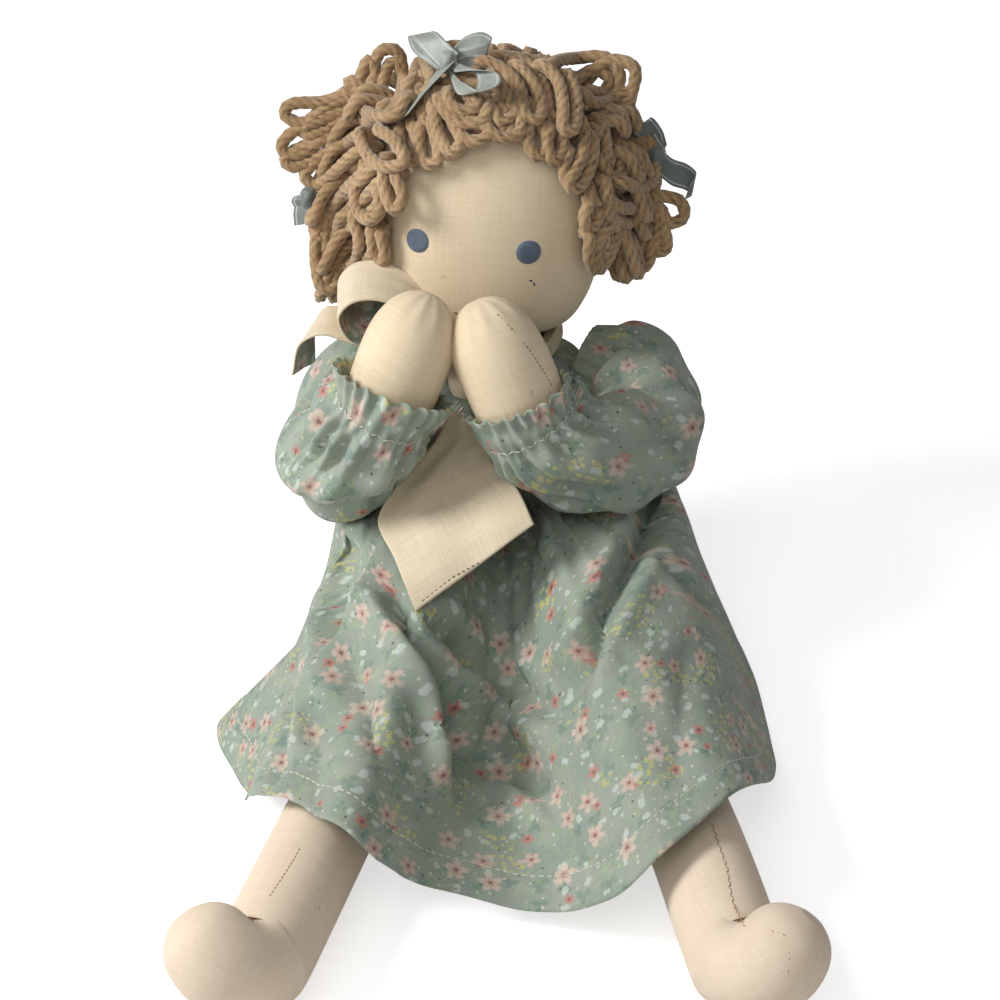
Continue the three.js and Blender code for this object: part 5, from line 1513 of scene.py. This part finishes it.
# Arms
def arm_pieces(name):
    arm = plain_arms[name]

    def upper_place(u, v):
        share, radius = np.moveaxis(even_spline(upper_arm_shares, v), -1, 0)
        return arm.tube(u * 2 * np.pi, np.clip(share, 0, 1), radius * arm_thickness - 0.2 * mm)

    upper = patch(f"{name}_upper_arm_cloth", 24, 22, upper_place, (0.07, 0.05), closed=True)
    swell(upper, 2.0, 0.6 * mm)
    apply_modifier(upper, "SUBSURF", levels=1, render_levels=1)
    finish(upper, cotton, f"{name}_upper_arm", [f"{name}_upper_arm", f"{name}_upper_arm_stuffing"])

    def hand_place(u, v):
        share, radius = np.moveaxis(even_spline(forearm_shares, v), -1, 0)
        angle = u * 2 * np.pi
        gathers = 1 - 0.07 * np.abs(np.sin(angle * 6)) * smooth(share, 0.9, 0.98)
        seam = 1 - 0.05 * np.exp(-(np.sin(angle / 2 + 0.4) / 0.06) ** 2)
        return arm.tube(angle, np.clip(share, 0, 1), radius * arm_thickness * gathers * seam - 0.3 * mm)

    hand = patch(f"{name}_forearm_cloth", 48, 56, hand_place, (0.115, 0.125), closed=True)
    wrist = arm.take(arm.path, np.array([cuff_share]))[0]
    held = np.linalg.norm(coordinates(hand) - wrist, axis=1) < 16 * mm
    swell(hand, 2.5, 0.9 * mm, slack=0.012, held=held)
    apply_modifier(hand, "SUBSURF", levels=1, render_levels=1)
    finish(hand, cotton, f"{name}_forearm", [f"{name}_forearm", f"{name}_forearm_stuffing"])

    wrist_radius = np.interp(cuff_share + 0.0144, forearm_shares[:, 0], forearm_shares[:, 1]) * arm_thickness
    gather = wrist_radius + 2 * clearance + 1.1 * mm + clearance + 0.4 * mm
    full = 1.2 if name == "left" else 1.0
    frill_radius = cuff_frill * (0.88 if name == "left" else 1.0)
    rows = np.array([
        [-0.05, 0.62 * full], [0.01, 0.76 * full], [0.06, 0.9 * full], [0.14, lerp(1.0, full, 0.5)],
        [0.26, 1.04], [0.38, 1.03], [0.48, 1.02], [0.58, 0.98], [0.65, 0.96],
        [cuff_share - 0.015, gather / sleeve_radius * 1.03],
        [cuff_share, gather / sleeve_radius],
        [cuff_share + 0.015, gather / sleeve_radius * 1.03],
        [cuff_share + 0.04, frill_radius * 0.95 / sleeve_radius],
        [cuff_share + 0.066, frill_radius * 1.02 / sleeve_radius],
    ])
    inward = -arm.tangent[0]

    def sleeve_place(u, v):
        share = lerp(rows[0, 0], rows[-1, 0], v)
        fine = spline(rows, np.linspace(0, 1, 300))
        radius = np.interp(share, fine[:, 0], fine[:, 1]) * sleeve_radius
        angle = u * 2 * np.pi
        near_cuff = np.exp(-(((share - cuff_share) / 0.05) ** 2))
        near_root = np.exp(-((share / 0.06) ** 2))
        depth = 0.6 * mm * near_cuff * smooth(share, 0.5, 0.62) + 0.7 * mm * near_root
        gathers = np.sin(angle * 24 + 1.2 * np.sin(angle * 5)) * depth
        puckers = np.sin(angle * 13 + 2 * np.sin(angle * 3) + share * 8) * 2.3 * mm
        puckers = puckers * smooth(share, 0.4, 0.64) * (1 - smooth(share, 0.66, 0.69))
        slack = np.sin(angle * 3 + share * 26 * arm.side + 1) + 0.6 * np.sin(angle * 5 - share * 31 + 2)
        slack = slack * 2.1 * mm * smooth(share, 0.0, 0.1) * (1 - smooth(share, 0.58, 0.67))
        wavy = angle * 21 + 1.5 * np.sin(angle * 4)
        frill = np.sin(wavy) * 1.4 * mm * smooth(share, cuff_share + 0.01, cuff_share + 0.06)
        edge = np.sin(wavy + 1.6) * 0.004 * smooth(share, cuff_share + 0.02, cuff_share + 0.066)
        radius = radius + gathers + puckers + slack + frill
        point = arm.tube(angle, np.clip(share + edge, 0, 1), radius, keep_inside_bend=True)
        return point + inward * np.maximum(-share, 0)[:, None] * arm_length

    sleeve = patch(f"{name}_sleeve_cloth", 220, 130, sleeve_place, (0.165, 0.13), closed=True, ends=False)
    thicken(sleeve, 0.5 * mm)
    finish(sleeve, dress_print, None, [f"{name}_sleeve"])
    elbow = arm.take(arm.path, np.array([0.3]))[0]
    along = arm.take(arm.tangent, np.array([0.3]))[0]
    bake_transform(sleeve)
    round_way = np.linspace(0, 2 * np.pi, 200)
    tree = tree_of(sleeve)
    ring = arm.tube(round_way, np.full(200, cuff_share), np.full(200, gather + 1.5 * mm))
    found = [tree.find_nearest(Vector(p)) for p in ring]
    path = np.array([f[0] for f in found])
    normals = unit(ring - arm.take(arm.path, np.full(200, cuff_share)))
    stitches(
        f"{name}_cuff_stitches", path, normals, 3.0 * mm, 3.2 * mm, 0.32 * mm, white_thread,
        f"{name}_forearm", slant=0.5,
    )
    return arm, hand, sleeve


arms = {name: arm_pieces(name) for name in ("left", "right")}

# Seams that show on the hands and the legs: the piece, its body, the thread, the stitches' pitch,
# length and radius in mm, their slant, and the places in the photograph
seen_seams = [
    ("left_hand_seam", arms["left"][1], "left_forearm", brown_thread, (1.9, 1.5, 0.3), 0.0,
     [(470, 291), (482, 302), (498, 315), (511, 328), (527, 347), (540, 366), (552, 386)]),
    ("right_leg_seam", legs["right"], "right_leg", cream_thread, (2.0, 1.5, 0.25), 0.0,
     [(300, 848), (292, 862), (283, 876), (269, 897)]),
    ("right_toe_seam", legs["right"], "right_leg", cream_thread, (2.0, 1.4, 0.22), 0.0,
     [(216, 896), (203, 893), (190, 900), (180, 910), (176, 938), (178, 965), (184, 998)]),
    ("left_leg_seam", legs["left"], "left_leg", cream_thread, (2.0, 2.2, 0.28), 0.45,
     [(712, 824), (719, 846), (727, 868), (730, 888), (734, 906), (745, 927)]),
    ("left_toe_seam", legs["left"], "left_leg", cream_thread, (2.0, 1.4, 0.22), 0.0,
     [(770, 930), (784, 935), (790, 956), (788, 974), (795, 998)]),
]
for label, piece, body, thread, sizes, slant, places in seen_seams:
    pitch, length, radius = (size * mm for size in sizes)
    seam(label, piece, places, pitch, length, radius, thread, body, slant)

# Scarf: a band round the neck, a knot in front, and the bow's loops and ends
neckband_width = 46 * mm
neckband_depth = 53 * mm


def band_middle(angle):
    angle = np.asarray(angle, float)
    z = torso_height * (0.99 + 0.035 * np.abs(np.sin(angle)) ** 2)
    y = lean(torso_height) - np.cos(angle) * neckband_depth / 2
    return np.stack([np.sin(angle) * neckband_width / 2, y, z], axis=-1)


def neckband_piece():
    def place(u, v):
        angle, around = u * 2 * np.pi, v * 2 * np.pi
        out = unit(np.stack([np.sin(angle), -np.cos(angle), 0 * angle - 0.25], axis=-1))
        upward = unit(UP + out * 0.25)
        folds = 1 + 0.12 * np.cos(around * 5 + np.sin(angle * 3) * 1.2)
        point = band_middle(angle) + out * (np.cos(around) * 3.6 * mm * folds)[:, None]
        return point + upward * (np.sin(around) * 6.2 * mm * folds)[:, None]

    piece = patch("neckband_cloth", 150, 30, place, (0.19, 0.03), closed=True)
    finish(piece, linen, "torso", ["scarf_neckband"])


neckband_piece()
knot_aside = 12 * mm
knot = band_middle(math.radians(-22)) + np.array([0, -(7 * mm + 12 * mm) / 2 - clearance, 0])
knot[0] = -knot_aside


def knot_piece():
    def place(u, v):
        angle = u * 2 * np.pi
        s = v - 0.5
        r = 20 * mm * (0.5 - 0.9 * s * s) * np.sqrt(np.clip(np.minimum(v, 1 - v) * 12, 0, 1))
        folds = 1 + 0.07 * np.cos(angle * 5 + s * 9)
        form = np.stack([np.cos(angle) * r * folds, np.sin(angle) * r * 0.6 * folds, s * 20 * mm], axis=-1)
        return knot + form

    piece = patch("knot_cloth", 60, 30, place, (0.05, 0.02), closed=True)
    finish(piece, linen, "torso", ["scarf_knot"])


knot_piece()

# Rows are a place from the knot and the reach across the cloth there, as shares of the scarf.
scarf_shares = {
    "scarf_loop_left": [
        [[0.119, -0.02, 0.02], [0, 0, 0.1]], [[0.26, -0.05, 0.06], [0, 0, 0.13]],
        [[0.37, -0.03, 0.07], [0, 0, 0.14]], [[0.4, 0.03, 0.07], [0, 0, 0.14]],
        [[0.35, 0.05, 0.06], [0, 0, 0.13]], [[0.24, 0.01, 0.03], [0, 0, 0.1]],
    ],
    "scarf_tail_back": [
        [[-0.06, -0.02, -0.142], [-0.03, 0.08, 0]], [[-0.17, -0.12, -0.22], [-0.04, 0.12, 0]],
        [[-0.28, -0.2, -0.32], [-0.06, 0.14, 0]], [[-0.36, -0.18, -0.4], [-0.06, 0.14, 0]],
    ],
    "scarf_tail_front": [
        [[0, -0.15, -0.12], [0.22, 0, 0.02]], [[-0.03, -0.27, -0.22], [0.34, 0.05, 0.06]],
        [[-0.12, -0.39, -0.3], [0.5, 0.12, 0.14]], [[-0.19, -0.52, -0.39], [0.6, 0.2, 0.24]],
        [[-0.075, -0.6, -0.55], [0.63, 0.24, 0.3]], [[0.025, -0.75, -0.72], [0.61, 0.26, 0.37]],
    ],
}
lift_angle = math.radians(32)
off_dress = np.array([0, -math.cos(lift_angle), math.sin(lift_angle)])


def lift_over(below, point, v, gap):
    """How far each place of a strip is lifted, so that its row clears what lies below."""
    lifts = np.zeros(len(point))
    for n, spot in enumerate(point + off_dress * 0.2):
        hit, _, _, distance = below.ray_cast(Vector(spot), Vector(-off_dress), 0.2 + gap)
        lifts[n] = 0.2 + gap - distance if hit is not None else 0
    levels = np.round(v, 6)
    order = np.unique(levels)
    highest = np.array([lifts[levels == level].max() for level in order])
    # Each row goes as high as the 7 on either side of it need, and then the rows are evened out.
    width = 7
    beside = np.pad(highest, width, "edge")
    raised = np.array([beside[n : n + 2 * width + 1].max() for n in range(len(order))])
    kernel = np.ones(2 * width + 1) / (2 * width + 1)
    raised = np.convolve(np.pad(raised, width, "edge"), kernel, "valid")
    return np.interp(v, order, raised)


def strip_place(rows, folds, below):
    """Lays a strip along a path of rows, each with its reach across the strip."""
    path = np.array([p for p, _ in rows])
    across = np.array([a for _, a in rows])

    def place(u, v):
        middle = knot + spline(path, v) * scarf_size
        wide = spline(across, v) * scarf_size
        point = middle + wide * (u - 0.5)[:, None]
        along = spline(path, np.minimum(v + 0.01, 1)) - spline(path, np.maximum(v - 0.01, 0))
        out = unit(np.cross(along, wide))
        gathered = np.sin(u * 2 * np.pi * 2.5 + 0.6 + v * 2) * np.exp(-v * 2.6)
        gathered = gathered + 0.35 * np.sin(u * 9 + v * 7)
        point = point + out * (gathered * folds)[:, None]
        if below is not None:
            point = point + off_dress * lift_over(below, point, v, 1.0 * mm)[:, None]
        return point

    return place


# Where the loop and the side end lie, in mm: the places of their near and far edges.
scarf_edges = {
    "scarf_loop_right": [
        [(-20, -31, 140), (-20, -17, 143)], [(-29, -33, 152), (-29, -18, 157)],
        [(-40, -34, 161), (-38, -14, 166)], [(-51, -34, 165), (-50, -10, 170)],
        [(-61, -34, 163), (-61, -9, 168)], [(-66, -33, 155), (-67, -9, 160)],
        [(-62, -32, 145), (-63, -10, 154)], [(-47, -30, 139), (-47, -14, 154)],
        [(-25, -28, 133), (-25, -14, 149)],
    ],
    "scarf_tail_side": [
        [(-22, -28, 129), (-22, -15, 131)], [(-46, -29, 137), (-46, -13, 141)],
        [(-62, -30, 143), (-60, -11, 147)], [(-74, -29, 146), (-72, -10, 149)],
        [(-83, -26, 140), (-77, -13, 143)], [(-87, -25, 125), (-78, -15, 126)],
    ],
}


def scarf_pieces():
    made = {}
    for name in (
        "scarf_loop_right", "scarf_loop_left", "scarf_tail_side", "scarf_tail_back", "scarf_tail_front",
    ):
        if name in scarf_edges:
            edges = np.array(scarf_edges[name]) * mm
            rows = [[((a + b) / 2 - knot) / scarf_size, (b - a) / scarf_size] for a, b in edges]
        else:
            rows = scarf_shares[name]
        # The back end lies on the dress, and the front end on both.
        front = name == "scarf_tail_front"
        below = None
        if name == "scarf_tail_back":
            below = tree_of(skirt, bodice)
        elif front:
            below = tree_of(skirt, bodice, made["scarf_tail_back"])
        place = strip_place(rows, 1.6 * mm if front else 0.5 * mm, below)
        wide = np.mean([np.linalg.norm(a) for _, a in rows]) * scarf_size
        path = spline(np.array([p for p, _ in rows]), np.linspace(0, 1, 50))
        long = run_along(path)[-1] * scarf_size
        piece = patch(f"{name}_cloth", 60 if front else 24, 90 if front else 60, place, (wide, long))
        # The lining goes inside the right loop, and under the ends.
        if name in ("scarf_loop_left", "scarf_tail_back", "scarf_tail_front"):
            piece.data.flip_normals()
        finish(piece, [linen, lining_print], None)
        thicken(piece, scarf_wall, offset=0, lining=True)
        finish(piece, None, "torso", [name])
        wide = max(wide, 10.5 * mm)
        made[name] = piece
    return made


scarf = scarf_pieces()
scarf_end = scarf["scarf_tail_front"]
scarf_hem = [(421, 602), (453, 577), (480, 562), (505, 548), (527, 535)]
seam("scarf_hem_stitches", scarf_end, scarf_hem, 2.2 * mm, 1.5 * mm, 0.25 * mm, brown_thread, "torso")

# Ribbons in the hair. Each row of a strip is a place in the photograph, the height over the
# head in mm, and the way across the ribbon: to the right, up and toward the camera.
ribbon_strips = {
    "ribbon_bow_top": [
        [(450, 62, 15, (0.6, 0.5, 0.5)), (438, 50, 18, (0.8, 0.3, 0.4)), (427, 38, 21, (0.9, 0.15, 0.3)),
         (420, 35, 20, (0.9, 0.1, 0.4)), (424, 48, 16, (0.8, 0.2, 0.5)), (446, 62, 13, (0.6, 0.5, 0.5))],
        [(450, 60, 14, (0.3, 0.9, 0.3)), (462, 49, 17, (0.3, 0.9, 0.2)), (478, 45, 18, (0.35, 0.9, 0.1)),
         (487, 51, 16, (0.35, 0.85, 0.3)), (470, 58, 14, (0.3, 0.9, 0.3)), (450, 62, 13, (0.3, 0.9, 0.3))],
        [(451, 66, 15, (0.3, -0.6, 0.75)), (470, 68, 18, (0.45, -0.35, 0.8)),
         (487, 74, 19, (0.8, -0.1, 0.6)), (487, 87, 20, (0.85, 0.1, 0.55)),
         (470, 93, 19, (0.7, 0.0, 0.7)), (458, 82, 17, (0.4, -0.3, 0.8)), (451, 70, 14, (0.3, -0.6, 0.75))],
        [(446, 66, 15, (0.7, 0.3, 0.6)), (432, 82, 15, (0.55, 0.25, 0.75)), (416, 101, 14, (0.5, 0.3, 0.8)),
         (402, 119, 13, (0.5, 0.3, 0.8))],
    ],
    "ribbon_bow_left": [
        [(657, 153, 19, (0.7, 0.5, 0.4)), (652, 138, 22, (0.8, 0.45, 0.4)), (643, 126, 22, (0.75, 0.5, 0.4)),
         (640, 128, 19, (0.7, 0.5, 0.4)), (648, 142, 17, (0.7, 0.5, 0.4)), (656, 155, 16, (0.7, 0.5, 0.4))],
        [(658, 160, 17, (0.1, 1, 0.3)), (672, 172, 19, (0.05, 1, 0.2)), (686, 177, 21, (0.05, 1, 0.25)),
         (694, 184, 20, (0.1, 0.9, 0.6)), (688, 191, 17, (0.2, 0.6, 0.9))],
    ],
    "ribbon_bow_right": [
        [(312, 200, 19, (0.9, 0.1, 0.4)), (307, 194, 22, (0.9, 0.1, 0.4)), (303, 199, 21, (0.9, 0.1, 0.4)),
         (306, 206, 17, (0.9, 0.1, 0.4))],
        [(308, 199, 19, (0.9, 0.1, 0.4)), (305, 210, 20, (0.9, 0.1, 0.4)), (306, 224, 19, (0.9, 0.1, 0.4))],
    ],
}
ribbon_knots = {
    "ribbon_bow_top": (448, 62, 15),
    "ribbon_bow_left": (657, 156, 18),
    "ribbon_bow_right": (309, 198, 19),
}


def ribbons():
    view = np.array(Euler(camera.rotation_euler).to_matrix()).T
    for name, strips in ribbon_strips.items():
        ribbon_satin = pale_satin if name == "ribbon_bow_top" else dark_satin
        parts = []
        for number, rows in enumerate(strips):
            path = np.array([near_head(x, y, grow * mm) for x, y, grow, _ in rows])
            across = unit(np.array([way for *_, way in rows], float)) @ view * ribbon_width

            def place(u, v):
                return even_spline(path, v) + spline(across, v) * (u - 0.5)[:, None]

            long = run_along(spline(path, np.linspace(0, 1, 50)))[-1]
            piece = patch(f"{name}_{number}", 12, 70, place, (ribbon_width, long))
            thicken(piece, 0.35 * mm, offset=0)
            parts.append(piece)
        x, y, grow = ribbon_knots[name]
        spot = near_head(x, y, grow * mm)

        def knot_place(u, v):
            s = v - 0.5
            r = ribbon_width * (0.34 - s * s * 0.5) * np.sqrt(np.clip(np.minimum(v, 1 - v) * 10, 0, 1))
            a = u * 2 * np.pi
            folds = 1 + 0.07 * np.sin(a * 4 + s * 8)
            form = np.stack([np.cos(a) * r * folds, -np.sin(a) * r * folds, s * ribbon_width * 0.9], axis=-1)
            return spot + form

        parts.append(patch(f"{name}_knot", 30, 20, knot_place, (0.02, ribbon_width), closed=True))
        piece = joined(f"{name}_satin", parts)
        finish(piece, ribbon_satin, "head", [name])


ribbons()


# Small CAD parts that keep their shape
def dress_small_parts():
    rib, tree, shader = new_material("woven elastic")
    inputs = {"Vector": surface_vector(tree, False), "Scale": 900.0, "Distortion": 1.0}
    ribs = node(tree, "ShaderNodeTexWave", inputs).outputs["Fac"]
    # The ribs' hollows are darker: painted shade, from the same waves that give the ribs their bump.
    tree.links.new(blend_colours(tree, ribs, rgb(0xC9C5BA), rgb(0xEAE6DC)), shader.inputs["Base Color"])
    shader.inputs["Roughness"].default_value = 0.75
    bump(tree, shader, ribs, 0.5, 0.2 * mm)
    for side in ("left", "right"):
        band = frame["nodes"][f"{side}_cuff_elastic"]
        band.data.materials.clear()
        band.data.materials.append(rib)
    pearl, tree, shader = new_material("cream button")
    inputs = {"Vector": surface_vector(tree, False), "Scale": 300.0, "Detail": 3.0, "Distortion": 1.5}
    cloud = node(tree, "ShaderNodeTexNoise", inputs).outputs["Fac"]
    tree.links.new(blend_colours(tree, cloud, rgb(0xD9CFBC), rgb(0xF3ECDD)), shader.inputs["Base Color"])
    tree.links.new(ramp(tree, cloud, 0.3, 0.7, 0.22, 0.38), shader.inputs["Roughness"])
    for name in ("back_button_upper", "back_button_lower"):
        button = frame["nodes"][name]
        button.data.materials.clear()
        button.data.materials.append(pearl)


dress_small_parts()


# Floor and light
def studio():
    bpy.ops.mesh.primitive_plane_add(size=8, location=(0, 0, -0.0005))
    floor = bpy.context.object
    floor.name = "floor"
    material, tree, shader = new_material("pale floor")
    shader.inputs["Base Color"].default_value = (0.9, 0.9, 0.9, 1)
    shader.inputs["Roughness"].default_value = 1.0
    shader.inputs["Specular IOR Level"].default_value = 0.0
    seen = node(tree, "ShaderNodeLightPath").outputs["Is Camera Ray"]
    # It glows a little more far away, where the lamps don't reach.
    far = vectors(tree, "LENGTH", surface_vector(tree, False))
    strength = maths(tree, "MULTIPLY", seen, ramp(tree, far, 0.4, 2.0, 0.62, 0.8))
    glow = node(tree, "ShaderNodeEmission", {"Color": (1, 1, 1, 1), "Strength": strength})
    both = node(tree, "ShaderNodeAddShader", {0: shader.outputs[0], 1: glow.outputs[0]})
    tree.links.new(both.outputs[0], tree.nodes["Material Output"].inputs["Surface"])
    floor.data.materials.append(material)

    world = bpy.data.worlds.new("studio")
    bpy.context.scene.world = world
    world.use_nodes = True
    tree = world.node_tree
    background = tree.nodes["Background"]
    background.inputs["Color"].default_value = (1, 1, 1, 1)
    # The background is white to the camera, and lights the doll less.
    seen = node(tree, "ShaderNodeLightPath").outputs["Is Camera Ray"]
    strength = maths(tree, "ADD", 0.27, maths(tree, "MULTIPLY", seen, 0.73))
    tree.links.new(strength, background.inputs["Strength"])

    for name, place, aim, size, energy in (
        ("key", (-1.0, -0.28, 0.88), (0, -0.1, 0.1), 0.45, 14.8),
        ("fill", (-0.3, -1.1, 1.15), (0, -0.1, 0.1), 0.8, 4.2),
    ):
        data = bpy.data.lights.new(name, "AREA")
        data.size = size
        data.energy = energy
        lamp = bpy.data.objects.new(name, data)
        lamp.location = place
        lamp.rotation_euler = (Vector(aim) - Vector(place)).to_track_quat("-Z", "Y").to_euler()
        bpy.context.scene.collection.objects.link(lamp)
    bpy.context.scene.view_settings.view_transform = "Standard"


studio()

bpy.context.view_layer.update()
